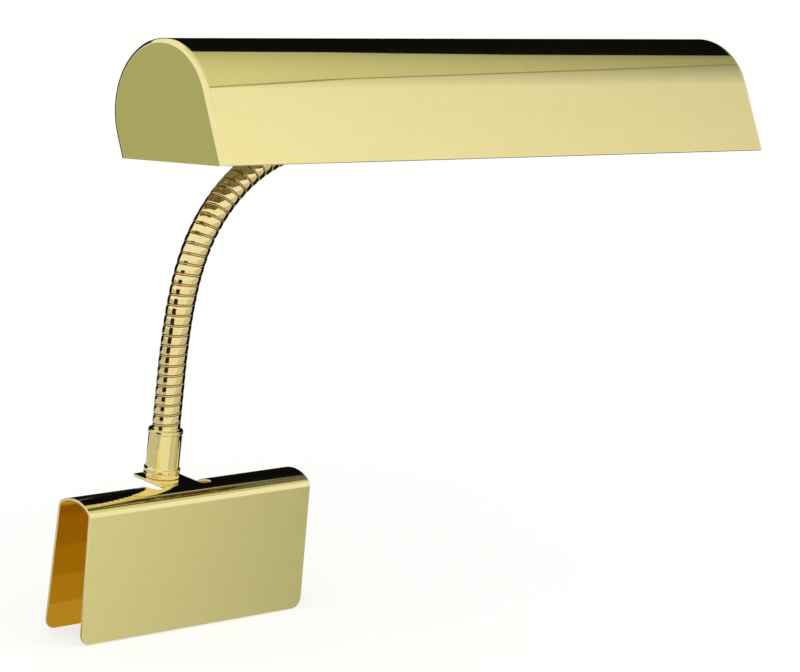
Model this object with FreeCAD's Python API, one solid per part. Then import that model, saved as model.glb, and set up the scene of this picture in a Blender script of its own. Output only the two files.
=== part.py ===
import FreeCAD
import Part

import math
import os

from FreeCAD import Placement, Rotation, Vector

# A clip-on piano lamp: a folded brass desk clip, a bendable gooseneck and a long half-round shade
# with one tubular bulb. Millimetres and degrees. The origin is the middle of the clip's channel,
# on the inside of its bend, where the lamp hangs on the top edge of a music desk. X runs along
# the clip and the shade, Y points away from the player, Z points up. What repeats along the neck
# and what hides inside other pieces is many-sided instead of round, to keep the facets few.

HIDDEN_SIDES = 24           # washers, nipples, socket, bulb and other covered round pieces
WIRE_SIDES = 8              # bore of the coil, filament

# --- desk clip: one folded sheet ------------------------------------------------------------
CLIP_LENGTH = 129.0
CLIP_SHEET = 1.2
CHANNEL_WIDTH = 19.9        # between the legs, at the bend
CHANNEL_RISE = 5.15         # height of the arched bend, inside
BEND_CORNER = 3.2           # small radius at each side of the arch, inside
LEG_DROP = 57.0             # from the bend to a leg's bottom edge
LEG_SPLAY = 1.95            # each leg leans outwards
LEG_CORNER = 5.0
TONGUE_WIDTH = 20.6         # tab lanced out of the bend, which carries the neck
TONGUE_REACH = 22.3         # from the top of the bend to the tab's free edge
TONGUE_RELIEF = 7.0         # slot on each side of the tab
TONGUE_CORNER = 2.0
RELIEF_CORNER = 3.0
RELIEF_START = 1.9          # the slots begin this far in front of the top line

# --- ferrules: turned cups that hold the two ends of the neck -----------------------------------
FERRULE_X = -3.9
FERRULE_Y = 14.2
FERRULE_HEIGHT = 22.0
FERRULE_BASE_RADIUS = 7.85
FERRULE_TOP_RADIUS = 7.55
FERRULE_LIP = 0.3
FERRULE_LIP_HEIGHT = 1.4
FERRULE_BEAD_HEIGHT = 2.1
FERRULE_BEAD_OUT = 0.4
FERRULE_BEVEL = 0.4         # on each side of the groove between the beads
FERRULE_FLOOR = 12.0        # height of the seat inside the cup
SPIGOT_RADIUS = 4.9
SPIGOT_BORE = 3.6
SPIGOT_RIM_RADIUS = 6.0
SPIGOT_RIM = 0.8
BACKING_WASHER_RADIUS = 6.6
BACKING_WASHER = 0.8
BUSHING_WALL = 0.8
BUSHING_DROP = 1.0          # below the spigot's rim

# --- gooseneck: one coil, cut into links that bend against each other ------------------------------
NECK_RADIUS = 6.35
NECK_BORE = 3.9
COIL_PITCH = 4.55
COIL_GROOVE = 0.45
COIL_BAND = 3.3             # flat outside of one turn
COIL_SIDES = 16
TURNS_PER_LINK = 4
END_TURNS = 2
SEAT_CLEARANCE = 0.12
LINK_SWING = 10.0           # one hinge between two links, each way
SWING_CLEARANCE = 2.0       # extra relief angle between two links
LINK_TURNING = [0.0, 0.0, 3.4, 5.2, 10.6, 15.2, 14.8, 15.4, 15.6]
SHADE_PITCH = 1.46          # far end of the shade this many degrees down
LAMP_YAW = -0.34            # neck and shade, about the vertical
SHADE_ROLL = -29.05         # shade about its long axis, opening towards the player's side

# --- shade shell and end plates ------------------------------------------------------------------
SHADE_LENGTH = 355.6
SHADE_RADIUS = 32.5
SHADE_SHEET = 0.8
SHADE_FRONT = 34.7          # straight front wall, below the half round
SHADE_BACK = 10.9           # straight back wall
HEM = 4.0                   # edge of the sheet folded inwards
END_RIM = 1.6               # part of an end plate that stands flush beyond the shell
END_BEVEL = 1.1
END_FLANGE = 6.0            # part of an end plate inside the shell
NECK_FROM_LEFT = 83.0       # left end of the shade to the end of the coil
NECK_BESIDE_AXIS = -0.75
NECK_BELOW_AXIS = 16.2

# --- bracket inside the shade ------------------------------------------------------------------
BRACKET_SHEET = 1.5
BRACKET_FLANGE = 14.0
BRACKET_SPAN = 62.0         # half angle of the curved flange
BRACKET_TAIL_WIDTH = 30.0
BRACKET_TAIL_RADIUS = 8.5
SWIVEL_GAP = 0.3            # between the turning shade and the neck's end
NIPPLE_RADIUS = 4.85
NIPPLE_BORE = 3.5
NIPPLE_CLEARANCE = 0.35
NIPPLE_GRIP = 9.0           # length of nipple inside the upper ferrule
NIPPLE_TAIL = 1.6
NUT_FLATS = 14.0
NUT_HEIGHT = 4.0
SPRING_WASHER_RADIUS = 7.2
SPRING_WASHER = 1.2

# --- socket with its turn key ---------------------------------------------------------------------
SOCKET_ABOVE_NECK = 17.0
SOCKET_NUT_FLATS = 13.0
SOCKET_NUT_HEIGHT = 3.0
HUB_RADIUS = 7.0
HUB_HEIGHT = 9.0
CAP_RADIUS = 16.9
CAP_HEIGHT = 27.0
CAP_WALL = 0.6
SOCKET_SHELL_START = 23.0
SOCKET_SHELL_END = 64.0
SHELL_WALL = 0.5
LINER_WALL = 0.7
FIT_GAP = 0.1
SWITCH_BLOCK_START = 27.5
SWITCH_BLOCK_END = 43.0
SWITCH_BLOCK_RADIUS = 14.2
SCREW_SHELL_RADIUS = 13.7
SCREW_SHELL_WALL = 0.35
SCREW_SHELL_END = 62.0
CONTACT_HALF = 4.0
CONTACT_HEIGHT = 1.6
TERMINAL_SPACING = 17.0
TERMINAL_HEAD_RADIUS = 2.4
TERMINAL_HEAD = 1.4
KEY_HEIGHT = 35.0
KEY_LEAN = 35.0             # key points down and this much to the front
KEY_STEM_RADIUS = 1.6
KEY_HOLE_CLEARANCE = 0.45
KEY_STEM_START = 9.0
KEY_KNOB_START = 19.0
KEY_KNOB_LENGTH = 9.5
KEY_KNOB_WIDTH = 14.0
KEY_KNOB_THICKNESS = 4.2
KEY_KNOB_CORNER = 4.0

# --- tubular bulb ---------------------------------------------------------------------------------
BULB_START = 44.8
BULB_LENGTH = 143.0         # to the top of the dome's sphere
BULB_RADIUS = 16.0
BULB_NECK_RADIUS = 12.2
BULB_GLASS = 0.8
BULB_NECK_START = 22.0
BULB_SHOULDER = 43.0
BULB_BASE_RADIUS = 13.05
BULB_BASE_WALL = 0.5
BULB_BASE_START = 4.6
BULB_BASE_END = 26.5
BULB_TIP_RADIUS = 4.6
BULB_TIP = 1.7
DOME_ANGLES = [25.0, 45.0, 65.0, 80.0]      # corners of the rounded end, seen from its centre
MOUNT_END = 66.0
MOUNT_RADIUS = 3.4
WIRE = 0.7
LEAD_OFFSET = 5.5
FILAMENT_RADIUS = 0.55
FILAMENT_START = 72.0
FILAMENT_CLEARANCE = 4.3    # from the leads' top to where the glass starts to round
FILAMENT_LENGTH = (BULB_LENGTH - BULB_RADIUS - FILAMENT_CLEARANCE - WIRE
                   - FILAMENT_START)

ORIGIN = Vector(0, 0, 0)
X_AXIS = Vector(1, 0, 0)
Y_AXIS = Vector(0, 1, 0)
Z_AXIS = Vector(0, 0, 1)
SMALL = 0.01
BIG = 400.0


# --- shapes used again and again -------------------------------------------------------------------
def turned(profile):
    """Solid turned about Z from a closed outline of (radius, height) points."""
    return flat_face([Vector(radius, 0, height) for radius, height in profile]).revolve(
        ORIGIN, Z_AXIS, 360)


def disc(radius, start, end):
    """Plain cylinder about Z."""
    return Part.makeCylinder(radius, end - start, Vector(0, 0, start))


def corners(radius, sides, height=0):
    """Corners of a regular outline about Z."""
    angles = [2 * math.pi * i / sides for i in range(sides)]
    return [Vector(radius * math.cos(angle), radius * math.sin(angle), height) for angle in angles]


def flat_face(points):
    return Part.Face(Part.makePolygon(points + points[:1]))


def faceted(sections):
    """Solid with flat facets through sections, each given by the same number of corners."""
    faces = [flat_face(sections[0]), flat_face(sections[-1])]
    for low, high in zip(sections, sections[1:]):
        for i in range(len(low)):
            faces.append(flat_face([low[i - 1], low[i], high[i]]))
            faces.append(flat_face([low[i - 1], high[i], high[i - 1]]))
    return Part.Solid(Part.Shell(faces))


def prism(radius, start, end, sides=HIDDEN_SIDES):
    """Many-sided rod about Z."""
    return flat_face(corners(radius, sides, start)).extrude(Vector(0, 0, end - start))


def sleeve(outer, inner, start, end):
    """Many-sided tube or washer about Z."""
    return prism(outer, start, end).cut(prism(inner, start - 1, end + 1))


def hexagon(across_flats, start, height, bore):
    """Hexagonal nut about Z with a plain bore."""
    nut = prism(across_flats / math.sqrt(3), start, start + height, 6)
    return nut.cut(prism(bore, start - 1, start + height + 1))


def rod(start, end, radius):
    """Round rod from one point to another."""
    along = end - start
    return Part.makeCylinder(radius, along.Length, start, along)


def placed(shape, placement):
    """Copy of a shape, moved from its own frame into another."""
    moved = shape.copy()
    moved.Placement = placement.multiply(moved.Placement)
    return moved


# --- desk clip ---------------------------------------------------------------------------------------
def bend_radii(offset):
    """Side and crown radius of the arched bend, at some distance outside its inner face."""
    half_width = CHANNEL_WIDTH / 2
    crown = ((half_width ** 2 + CHANNEL_RISE ** 2 - 2 * half_width * BEND_CORNER)
             / (2 * (CHANNEL_RISE - BEND_CORNER)))
    return BEND_CORNER + offset, crown + offset


def bend_angle():
    """Angle from a leg's top to where the side radius meets the crown radius."""
    side, crown = bend_radii(0)
    return math.atan2(crown - CHANNEL_RISE, CHANNEL_WIDTH / 2 - side)


def arch(offset):
    """Edges of the bend in the YZ plane: a small arc on each side of a flatter crown."""
    side, crown = bend_radii(offset)
    meet = bend_angle()
    side_centre = CHANNEL_WIDTH / 2 + offset - side

    def on_side(hand, angle):
        return Vector(0, hand * (side_centre + side * math.cos(angle)),
                      side * math.sin(angle) - CHANNEL_RISE)

    edges = [Part.Arc(on_side(hand, 0), on_side(hand, meet / 2), on_side(hand, meet)).toShape()
             for hand in (1, -1)]
    edges.append(Part.Arc(on_side(1, meet), Vector(0, 0, offset), on_side(-1, meet)).toShape())
    return edges


def clip_outline():
    """Cross-section of the folded sheet: an arch on two slightly splayed legs."""
    inner = CHANNEL_WIDTH / 2
    outer = inner + CLIP_SHEET
    bend = -CHANNEL_RISE
    foot = bend - LEG_DROP
    spread = LEG_DROP * math.tan(math.radians(LEG_SPLAY))

    def leg(side):
        return [Part.makeLine(Vector(0, side * inner, bend), Vector(0, side * (inner + spread), foot)),
                Part.makeLine(Vector(0, side * (inner + spread), foot),
                              Vector(0, side * (outer + spread), foot)),
                Part.makeLine(Vector(0, side * (outer + spread), foot), Vector(0, side * outer, bend))]

    edges = leg(1) + leg(-1) + arch(0) + arch(CLIP_SHEET)
    return Part.Face(Part.Wire(Part.__sortEdges__(edges)))


def bend_quarter():
    """Length of sheet in the back half of the bend, along its middle."""
    side, crown = bend_radii(CLIP_SHEET / 2)
    return side * bend_angle() + crown * (math.pi / 2 - bend_angle())


def rounded_plate(x0, x1, y0, y1, z0, z1, radius, axis):
    """Box whose four edges along one axis are rounded."""
    box = Part.makeBox(x1 - x0, y1 - y0, z1 - z0, Vector(x0, y0, z0))
    edges = [edge for edge in box.Edges
             if abs(abs(edge.tangentAt(edge.FirstParameter).dot(axis)) - 1) < SMALL]
    return box.makeFillet(radius, edges)


def desk_clip():
    sheet = clip_outline().extrude(Vector(CLIP_LENGTH, 0, 0))
    sheet.translate(Vector(-CLIP_LENGTH / 2, 0, 0))
    foot = -CHANNEL_RISE - LEG_DROP
    trim = rounded_plate(-CLIP_LENGTH / 2, CLIP_LENGTH / 2, -BIG, BIG, foot, BIG, LEG_CORNER, Y_AXIS)
    sheet = sheet.common(trim)

    left = FERRULE_X - TONGUE_WIDTH / 2
    right = FERRULE_X + TONGUE_WIDTH / 2
    deep = CHANNEL_WIDTH / 2 + CLIP_SHEET + LEG_DROP
    drop = TONGUE_REACH - bend_quarter()
    for x0, x1 in ((left - TONGUE_RELIEF, left), (right, right + TONGUE_RELIEF)):
        slot = rounded_plate(x0, x1, -RELIEF_START, deep, -CHANNEL_RISE, BIG, RELIEF_CORNER, Z_AXIS)
        sheet = sheet.cut(slot)
    under = Part.makeBox(TONGUE_WIDTH, deep, BIG, Vector(left, 0, -CHANNEL_RISE))
    window = rounded_plate(left - TONGUE_RELIEF, right + TONGUE_RELIEF, SMALL, deep,
                           -CHANNEL_RISE - drop, BIG, RELIEF_CORNER, Y_AXIS)
    window = window.cut(Part.makeBox(BIG, BIG, BIG, Vector(-BIG / 2, -BIG / 2, -CHANNEL_RISE)))
    sheet = sheet.cut(under).cut(window)

    tongue = rounded_plate(left, right, -TONGUE_REACH, TONGUE_REACH, 0, CLIP_SHEET,
                           TONGUE_CORNER, Z_AXIS)
    tongue = tongue.cut(Part.makeBox(BIG, BIG, BIG, Vector(-BIG / 2, -BIG, -BIG / 2)))
    sheet = sheet.fuse(tongue)
    hole = Part.makeCylinder(SPIGOT_RADIUS + FIT_GAP, BIG, Vector(FERRULE_X, FERRULE_Y, -1))
    return sheet.cut(hole)


# --- ferrules ------------------------------------------------------------------------------------------
def ferrule_cup(bore):
    """Ferrule standing on z = 0 with its cup open at the top and a double bead at the foot."""
    bead = FERRULE_BEAD_HEIGHT
    wide = FERRULE_BASE_RADIUS + FERRULE_BEAD_OUT
    cup = NECK_RADIUS + SEAT_CLEARANCE
    lip = FERRULE_HEIGHT - FERRULE_LIP_HEIGHT
    groove = bead - FERRULE_BEVEL
    body = turned([(0, 0), (wide, 0), (wide, groove), (FERRULE_BASE_RADIUS, bead),
                   (wide, bead + FERRULE_BEVEL), (wide, 2 * bead), (FERRULE_TOP_RADIUS, 2 * bead),
                   (FERRULE_TOP_RADIUS, lip), (FERRULE_TOP_RADIUS + FERRULE_LIP, lip),
                   (FERRULE_TOP_RADIUS + FERRULE_LIP, FERRULE_HEIGHT), (cup, FERRULE_HEIGHT),
                   (cup, FERRULE_FLOOR), (0, FERRULE_FLOOR)])
    return body.cut(prism(bore, -1, FERRULE_FLOOR + 1))


def lower_ferrule():
    """Cup with a spigot through the tongue, rolled over a washer underneath."""
    bottom = -CLIP_SHEET - BACKING_WASHER
    spigot = sleeve(SPIGOT_RADIUS, SPIGOT_BORE, bottom - SPIGOT_RIM, SMALL)
    rim = sleeve(SPIGOT_RIM_RADIUS, SPIGOT_BORE, bottom - SPIGOT_RIM, bottom)
    return ferrule_cup(SPIGOT_BORE).fuse(spigot).fuse(rim)


def backing_washer():
    return sleeve(BACKING_WASHER_RADIUS, SPIGOT_RADIUS + FIT_GAP, -CLIP_SHEET - BACKING_WASHER,
                  -CLIP_SHEET)


def outlet_bushing():
    """Insulating sleeve where the wires leave the spigot."""
    end = -CLIP_SHEET - BACKING_WASHER - SPIGOT_RIM - BUSHING_DROP
    return sleeve(SPIGOT_BORE, SPIGOT_BORE - BUSHING_WALL, end, FERRULE_FLOOR / 2)


# --- gooseneck ------------------------------------------------------------------------------------------
def link_end(length, turning):
    """Placement of a link's far end in the frame of its near end."""
    if turning == 0:
        return Placement(Vector(0, 0, length), Rotation())
    angle = math.radians(turning)
    radius = length / angle
    reach = Vector(radius * (1 - math.cos(angle)), 0, radius * math.sin(angle))
    return Placement(reach, Rotation(Y_AXIS, turning))


def along_link(distance, length, turning):
    """Placement on a link's middle line, which runs on straight beyond both ends."""
    if distance < 0:
        return Placement(Vector(0, 0, distance), Rotation())
    if distance > length:
        beyond = Placement(Vector(0, 0, distance - length), Rotation())
        return link_end(length, turning).multiply(beyond)
    return link_end(distance, turning * distance / length)


def bent_skin(stations, length, turning, sides):
    """Solid through many-sided sections at the given (distance, radius) stations along a link."""
    sections = []
    for distance, radius in stations:
        place = along_link(distance, length, turning)
        sections.append([place.multVec(corner) for corner in corners(radius, sides)])
    return faceted(sections)


def joint_relief():
    """Length left out at each side of a joint so that two links can swing."""
    return NECK_RADIUS * math.tan(math.radians((LINK_SWING + SWING_CLEARANCE) / 2))


def coil_link(turns, turning, near_joint, far_joint):
    """One link of the coil, starting at z = 0 and bending towards X."""
    length = turns * COIL_PITCH
    seat = FERRULE_HEIGHT - FERRULE_FLOOR
    start = joint_relief() if near_joint else -seat
    end = length - joint_relief() if far_joint else length + seat
    half_groove = (COIL_PITCH - COIL_BAND) / 2
    outside = [(start, NECK_RADIUS)]
    for i in range(1, turns):
        groove = i * COIL_PITCH
        outside += [(groove - half_groove, NECK_RADIUS), (groove, NECK_RADIUS - COIL_GROOVE),
                    (groove + half_groove, NECK_RADIUS)]
    outside.append((end, NECK_RADIUS))
    coil = bent_skin(outside, length, turning, COIL_SIDES)
    bore = [(start - 1, NECK_BORE), (end + 1, NECK_BORE)]
    return coil.cut(bent_skin(bore, length, turning, WIRE_SIDES))


def neck_links():
    """Placement of every link's near end, then of the neck's far end, with the links' turning."""
    last_turning = 90 + SHADE_PITCH - sum(LINK_TURNING)
    turnings = LINK_TURNING + [last_turning]
    base = Placement(Vector(FERRULE_X, FERRULE_Y, CLIP_SHEET + FERRULE_HEIGHT),
                     Rotation(Z_AXIS, LAMP_YAW))
    frames = [base]
    turns = []
    for i, turning in enumerate(turnings):
        at_end = i in (0, len(turnings) - 1)
        turns.append(END_TURNS if at_end else TURNS_PER_LINK)
        frames.append(frames[-1].multiply(link_end(turns[-1] * COIL_PITCH, turning)))
    return frames, turns, turnings


FRAMES, TURNS, TURNINGS = neck_links()
NECK_END = FRAMES[-1]


def neck_coils():
    """The coil's links, with the first and last seated in the ferrules."""
    last = len(TURNS) - 1
    return [placed(coil_link(turns, TURNINGS[i], i > 0, i < last), FRAMES[i])
            for i, turns in enumerate(TURNS)]


# --- end of the neck, inside the shade -------------------------------------------------------------------
def upper_ferrule():
    """The same cup the other way round, closed on the threaded nipple."""
    flip = Placement(Vector(0, 0, FERRULE_HEIGHT), Rotation(X_AXIS, 180))
    return placed(ferrule_cup(NIPPLE_RADIUS), flip)


def bracket_start():
    return FERRULE_HEIGHT + SWIVEL_GAP


def nipple_nut_start():
    return bracket_start() + BRACKET_SHEET + SWIVEL_GAP + SPRING_WASHER


def upper_nipple():
    end = nipple_nut_start() + NUT_HEIGHT + NIPPLE_TAIL
    return sleeve(NIPPLE_RADIUS, NIPPLE_BORE, FERRULE_HEIGHT - NIPPLE_GRIP, end)


def upper_spring_washer():
    """Split spring washer that keeps the swivel stiff."""
    start = nipple_nut_start() - SPRING_WASHER
    washer = sleeve(SPRING_WASHER_RADIUS, NIPPLE_RADIUS + FIT_GAP, start, nipple_nut_start())
    slit = Part.makeBox(BIG, SPRING_WASHER, BIG, Vector(0, -SPRING_WASHER / 2, 0))
    return washer.cut(slit)


def upper_nut():
    return hexagon(NUT_FLATS, nipple_nut_start(), NUT_HEIGHT, NIPPLE_RADIUS)


# --- shade ------------------------------------------------------------------------------------------------
def shade_frame():
    """Shade frame: X from the left end along the shade, Z up through the half round."""
    turn = Rotation(Y_AXIS, -90).multiply(Rotation(X_AXIS, SHADE_ROLL))
    from_left = Placement(Vector(-NECK_FROM_LEFT, -NECK_BESIDE_AXIS, NECK_BELOW_AXIS), Rotation())
    return NECK_END.multiply(Placement(ORIGIN, turn)).multiply(from_left)


SHADE = shade_frame()


def opening_height(y):
    """Height of the slanted opening plane below the half round's axis."""
    middle = -(SHADE_FRONT + SHADE_BACK) / 2
    return middle + (SHADE_FRONT - SHADE_BACK) / (2 * SHADE_RADIUS) * y


def shade_section(radius, below, start, end):
    """Solid with the shade's half-round section, carried on some way below the opening."""
    left = Vector(start, -radius, opening_height(-radius) - below)
    right = Vector(start, radius, opening_height(radius) - below)
    shoulder_left = Vector(start, -radius, 0)
    shoulder_right = Vector(start, radius, 0)
    arc = Part.Arc(shoulder_left, Vector(start, 0, radius), shoulder_right).toShape()
    wire = Part.Wire([Part.makeLine(left, shoulder_left), arc, Part.makeLine(shoulder_right, right),
                      Part.makeLine(right, left)])
    return Part.Face(wire).extrude(Vector(end - start, 0, 0))


def edge_hem(side):
    """Sheet folded inwards along the front (-1) or back (+1) edge."""
    outer = side * (SHADE_RADIUS - SHADE_SHEET)
    inner = side * (SHADE_RADIUS - 2 * SHADE_SHEET)
    points = [Vector(0, outer, opening_height(outer)), Vector(0, inner, opening_height(inner)),
              Vector(0, inner, opening_height(inner) + HEM), Vector(0, outer, opening_height(outer) + HEM)]
    hem = flat_face(points).extrude(Vector(shell_length(), 0, 0))
    hem.translate(Vector(END_RIM, 0, 0))
    return hem


def shell_length():
    return SHADE_LENGTH - 2 * END_RIM


def shade_shell():
    outside = shade_section(SHADE_RADIUS, 0, END_RIM, END_RIM + shell_length())
    inside = shade_section(SHADE_RADIUS - SHADE_SHEET, HEM, 0, SHADE_LENGTH)
    return outside.cut(inside).fuse(edge_hem(-1)).fuse(edge_hem(1))


def end_plate(shell):
    """Pressed lid on the left end: a bevelled rim flush with the shell, and a flange inside it."""
    rim = shade_section(SHADE_RADIUS, 0, 0, END_RIM)
    bevelled = [edge for edge in rim.Edges
                if edge.BoundBox.XMax < SMALL and edge.BoundBox.ZMax > -SMALL]
    rim = rim.makeChamfer(END_BEVEL, bevelled)
    radius = SHADE_RADIUS - SHADE_SHEET
    flange = shade_section(radius, 0, END_RIM, END_RIM + END_FLANGE)
    hollow = shade_section(radius - SHADE_SHEET, HEM, END_RIM, END_RIM + END_FLANGE + 1)
    return rim.fuse(flange).cut(hollow).cut(shell)


def mirrored_end(plate):
    """The same plate for the far end."""
    return plate.mirror(Vector(SHADE_LENGTH / 2, 0, 0), X_AXIS)


def bracket_x():
    """Place of the bracket's neck side along the shade."""
    return NECK_FROM_LEFT + bracket_start()


def bracket():
    """Web across the shade with holes for neck and socket, and a curved flange on the shell."""
    x = bracket_x()
    radius = SHADE_RADIUS - SHADE_SHEET
    span = math.radians(BRACKET_SPAN)
    top_low = radius * math.cos(span)
    full = Part.makeCylinder(radius, BRACKET_SHEET, Vector(x, 0, 0), X_AXIS)
    above = Part.makeBox(BIG, BIG, BIG, Vector(-BIG / 2, -BIG / 2, top_low))
    web = full.common(above)
    tail_top = Part.makeBox(BRACKET_SHEET, BRACKET_TAIL_WIDTH, top_low + 1,
                            Vector(x, -BRACKET_TAIL_WIDTH / 2, 0))
    neck = Vector(x, NECK_BESIDE_AXIS, -NECK_BELOW_AXIS)
    half = BRACKET_TAIL_WIDTH / 2
    taper = [Vector(x, -half, 0), Vector(x, half, 0),
             neck + Vector(0, BRACKET_TAIL_RADIUS, 0), neck - Vector(0, BRACKET_TAIL_RADIUS, 0)]
    tail = flat_face(taper).extrude(Vector(BRACKET_SHEET, 0, 0))
    tip = Part.makeCylinder(BRACKET_TAIL_RADIUS, BRACKET_SHEET, neck, X_AXIS)
    shape = web.fuse([tail_top, tail, tip])

    flange = Part.makeCylinder(radius, BRACKET_FLANGE, Vector(x, 0, 0), X_AXIS)
    flange = flange.cut(Part.makeCylinder(radius - BRACKET_SHEET, BIG, Vector(x - 1, 0, 0), X_AXIS))
    shape = shape.fuse(flange.common(above))
    neck_hole = Part.makeCylinder(NIPPLE_RADIUS + NIPPLE_CLEARANCE, BIG, neck - X_AXIS, X_AXIS)
    socket_hole = Part.makeCylinder(NIPPLE_RADIUS + FIT_GAP, BIG, socket_centre(x - 1), X_AXIS)
    return shape.cut(neck_hole).cut(socket_hole).removeSplitter()


# --- socket, in its own frame: z = 0 on the bracket, Z along the bulb, X towards the opening ------------
def socket_centre(x):
    return Vector(x, NECK_BESIDE_AXIS, SOCKET_ABOVE_NECK - NECK_BELOW_AXIS)


def socket_frame():
    return SHADE.multiply(Placement(socket_centre(bracket_x() + BRACKET_SHEET), Rotation(Y_AXIS, 90)))


SOCKET = socket_frame()


def key_direction():
    lean = math.radians(KEY_LEAN)
    return Vector(math.cos(lean), -math.sin(lean), 0)


def key_rod(start, end, radius):
    """Rod along the key's axis between two distances from the socket's axis."""
    centre = Vector(0, 0, KEY_HEIGHT)
    return rod(centre + key_direction() * start, centre + key_direction() * end, radius)


def key_hole():
    return key_rod(0, BIG, KEY_STEM_RADIUS + KEY_HOLE_CLEARANCE)


def socket_nut():
    return hexagon(SOCKET_NUT_FLATS, -BRACKET_SHEET - SOCKET_NUT_HEIGHT, SOCKET_NUT_HEIGHT,
                   NIPPLE_RADIUS)


def socket_nipple():
    start = -BRACKET_SHEET - SOCKET_NUT_HEIGHT - NIPPLE_TAIL
    return sleeve(NIPPLE_RADIUS, NIPPLE_BORE, start, HUB_HEIGHT - 1)


def socket_cap():
    """Cup with a threaded hub."""
    cup = prism(CAP_RADIUS, HUB_HEIGHT, CAP_HEIGHT)
    cup = cup.cut(prism(CAP_RADIUS - CAP_WALL, HUB_HEIGHT + CAP_WALL, CAP_HEIGHT + 1))
    hub = prism(HUB_RADIUS, 0, HUB_HEIGHT + CAP_WALL)
    return cup.fuse(hub).cut(prism(NIPPLE_RADIUS, -1, CAP_HEIGHT))


def shell_radius():
    return CAP_RADIUS - CAP_WALL - FIT_GAP


def socket_shell():
    """Open tube round the screw shell."""
    outer = shell_radius()
    tube = sleeve(outer, outer - SHELL_WALL, SOCKET_SHELL_START, SOCKET_SHELL_END)
    return tube.cut(key_hole())


def socket_liner():
    """Insulating paper sleeve inside the shell, above the key."""
    outer = shell_radius() - SHELL_WALL - FIT_GAP
    return sleeve(outer, outer - LINER_WALL, SWITCH_BLOCK_END, SOCKET_SHELL_END - 4 * SHELL_WALL)


def terminal_places():
    return [Vector(0, side * TERMINAL_SPACING / 2, SWITCH_BLOCK_START) for side in (-1, 1)]


def terminal_screws():
    """Two screw heads under the switch block."""
    head = prism(TERMINAL_HEAD_RADIUS, -TERMINAL_HEAD, 0)
    return Part.makeCompound([placed(head, Placement(place, Rotation())) for place in terminal_places()])


def switch_block():
    """Moulded block that holds the switch, the terminals and the screw shell."""
    block = prism(SWITCH_BLOCK_RADIUS, SWITCH_BLOCK_START, SWITCH_BLOCK_END)
    return block.cut(key_rod(KEY_STEM_START - 1, BIG, KEY_STEM_RADIUS + KEY_HOLE_CLEARANCE))


def screw_shell():
    return sleeve(SCREW_SHELL_RADIUS, SCREW_SHELL_RADIUS - SCREW_SHELL_WALL, SWITCH_BLOCK_END,
                  SCREW_SHELL_END)


def centre_contact():
    """Spring tab under the bulb's tip."""
    tab = Part.makeBox(2 * CONTACT_HALF, CONTACT_HALF, CONTACT_HEIGHT)
    tab.translate(Vector(-CONTACT_HALF, -CONTACT_HALF / 2, SWITCH_BLOCK_END))
    return tab


def key_stem():
    return key_rod(KEY_STEM_START, KEY_KNOB_START + KEY_KNOB_LENGTH / 2, KEY_STEM_RADIUS)


def key_knob():
    """Flat turning knob with rounded corners on the stem."""
    half = KEY_KNOB_WIDTH / 2
    knob = rounded_plate(-half, half, -KEY_KNOB_THICKNESS / 2, KEY_KNOB_THICKNESS / 2,
                         0, KEY_KNOB_LENGTH, KEY_KNOB_CORNER, Y_AXIS)
    knob = knob.cut(disc(KEY_STEM_RADIUS, -1, KEY_KNOB_LENGTH / 2))
    start = Vector(0, 0, KEY_HEIGHT) + key_direction() * KEY_KNOB_START
    return placed(knob, Placement(start, Rotation(Z_AXIS, key_direction())))


# --- bulb, in the socket's frame ------------------------------------------------------------------------
def bulb_glass():
    """Closed glass tube with a rounded end and a narrower neck in the base."""
    centre = BULB_LENGTH - BULB_RADIUS
    bend = (BULB_NECK_START + BULB_SHOULDER) / 2
    outline = [(BULB_NECK_RADIUS, BULB_NECK_START), (BULB_NECK_RADIUS, bend),
               (BULB_RADIUS, BULB_SHOULDER), (BULB_RADIUS, centre)]
    for angle in DOME_ANGLES:
        outline.append((BULB_RADIUS * math.cos(math.radians(angle)),
                        centre + BULB_RADIUS * math.sin(math.radians(angle))))
    glass = faceted([corners(radius, HIDDEN_SIDES, height) for radius, height in outline])
    neck = prism(BULB_NECK_RADIUS - BULB_GLASS, mount_start(), BULB_SHOULDER + 1)
    return glass.cut(neck).cut(prism(BULB_RADIUS - BULB_GLASS, BULB_SHOULDER, centre))


def mount_start():
    return BULB_NECK_START + BULB_GLASS


def bulb_base():
    return sleeve(BULB_BASE_RADIUS, BULB_BASE_RADIUS - BULB_BASE_WALL, BULB_BASE_START, BULB_BASE_END)


def bulb_insulator():
    """Dark glass cone between the base and its tip."""
    return faceted([corners(BULB_TIP_RADIUS, HIDDEN_SIDES, BULB_TIP),
                    corners(BULB_BASE_RADIUS - BULB_BASE_WALL, HIDDEN_SIDES,
                            BULB_BASE_START + BULB_TIP)])


def bulb_tip():
    return prism(BULB_TIP_RADIUS, 0, BULB_TIP)


def bulb_mount():
    """Glass stem that carries the wires."""
    return prism(MOUNT_RADIUS, mount_start(), MOUNT_END)


def bulb_filament():
    return prism(FILAMENT_RADIUS, FILAMENT_START, FILAMENT_START + FILAMENT_LENGTH, WIRE_SIDES)


def bulb_leads():
    """Two lead-in wires, one to each end of the filament."""
    top = FILAMENT_START + FILAMENT_LENGTH

    def wire(x0, x1, z0, z1):
        return Part.makeBox(x1 - x0, WIRE, z1 - z0, Vector(x0, -WIRE / 2, z0))

    short = wire(-WIRE / 2, WIRE / 2, MOUNT_END, FILAMENT_START)
    foot = wire(MOUNT_RADIUS / 2, LEAD_OFFSET, MOUNT_END, MOUNT_END + WIRE)
    tall = wire(LEAD_OFFSET - WIRE, LEAD_OFFSET, MOUNT_END, top + WIRE)
    head = wire(-WIRE / 2, LEAD_OFFSET, top, top + WIRE)
    return Part.makeCompound([short, foot.fuse([tall, head]).removeSplitter()])


# --- build and export ---------------------------------------------------------------------------------
def bulb(shape):
    """Moves a bulb piece to its place in the socket."""
    return placed(shape, Placement(Vector(0, 0, BULB_START), Rotation()))


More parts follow.
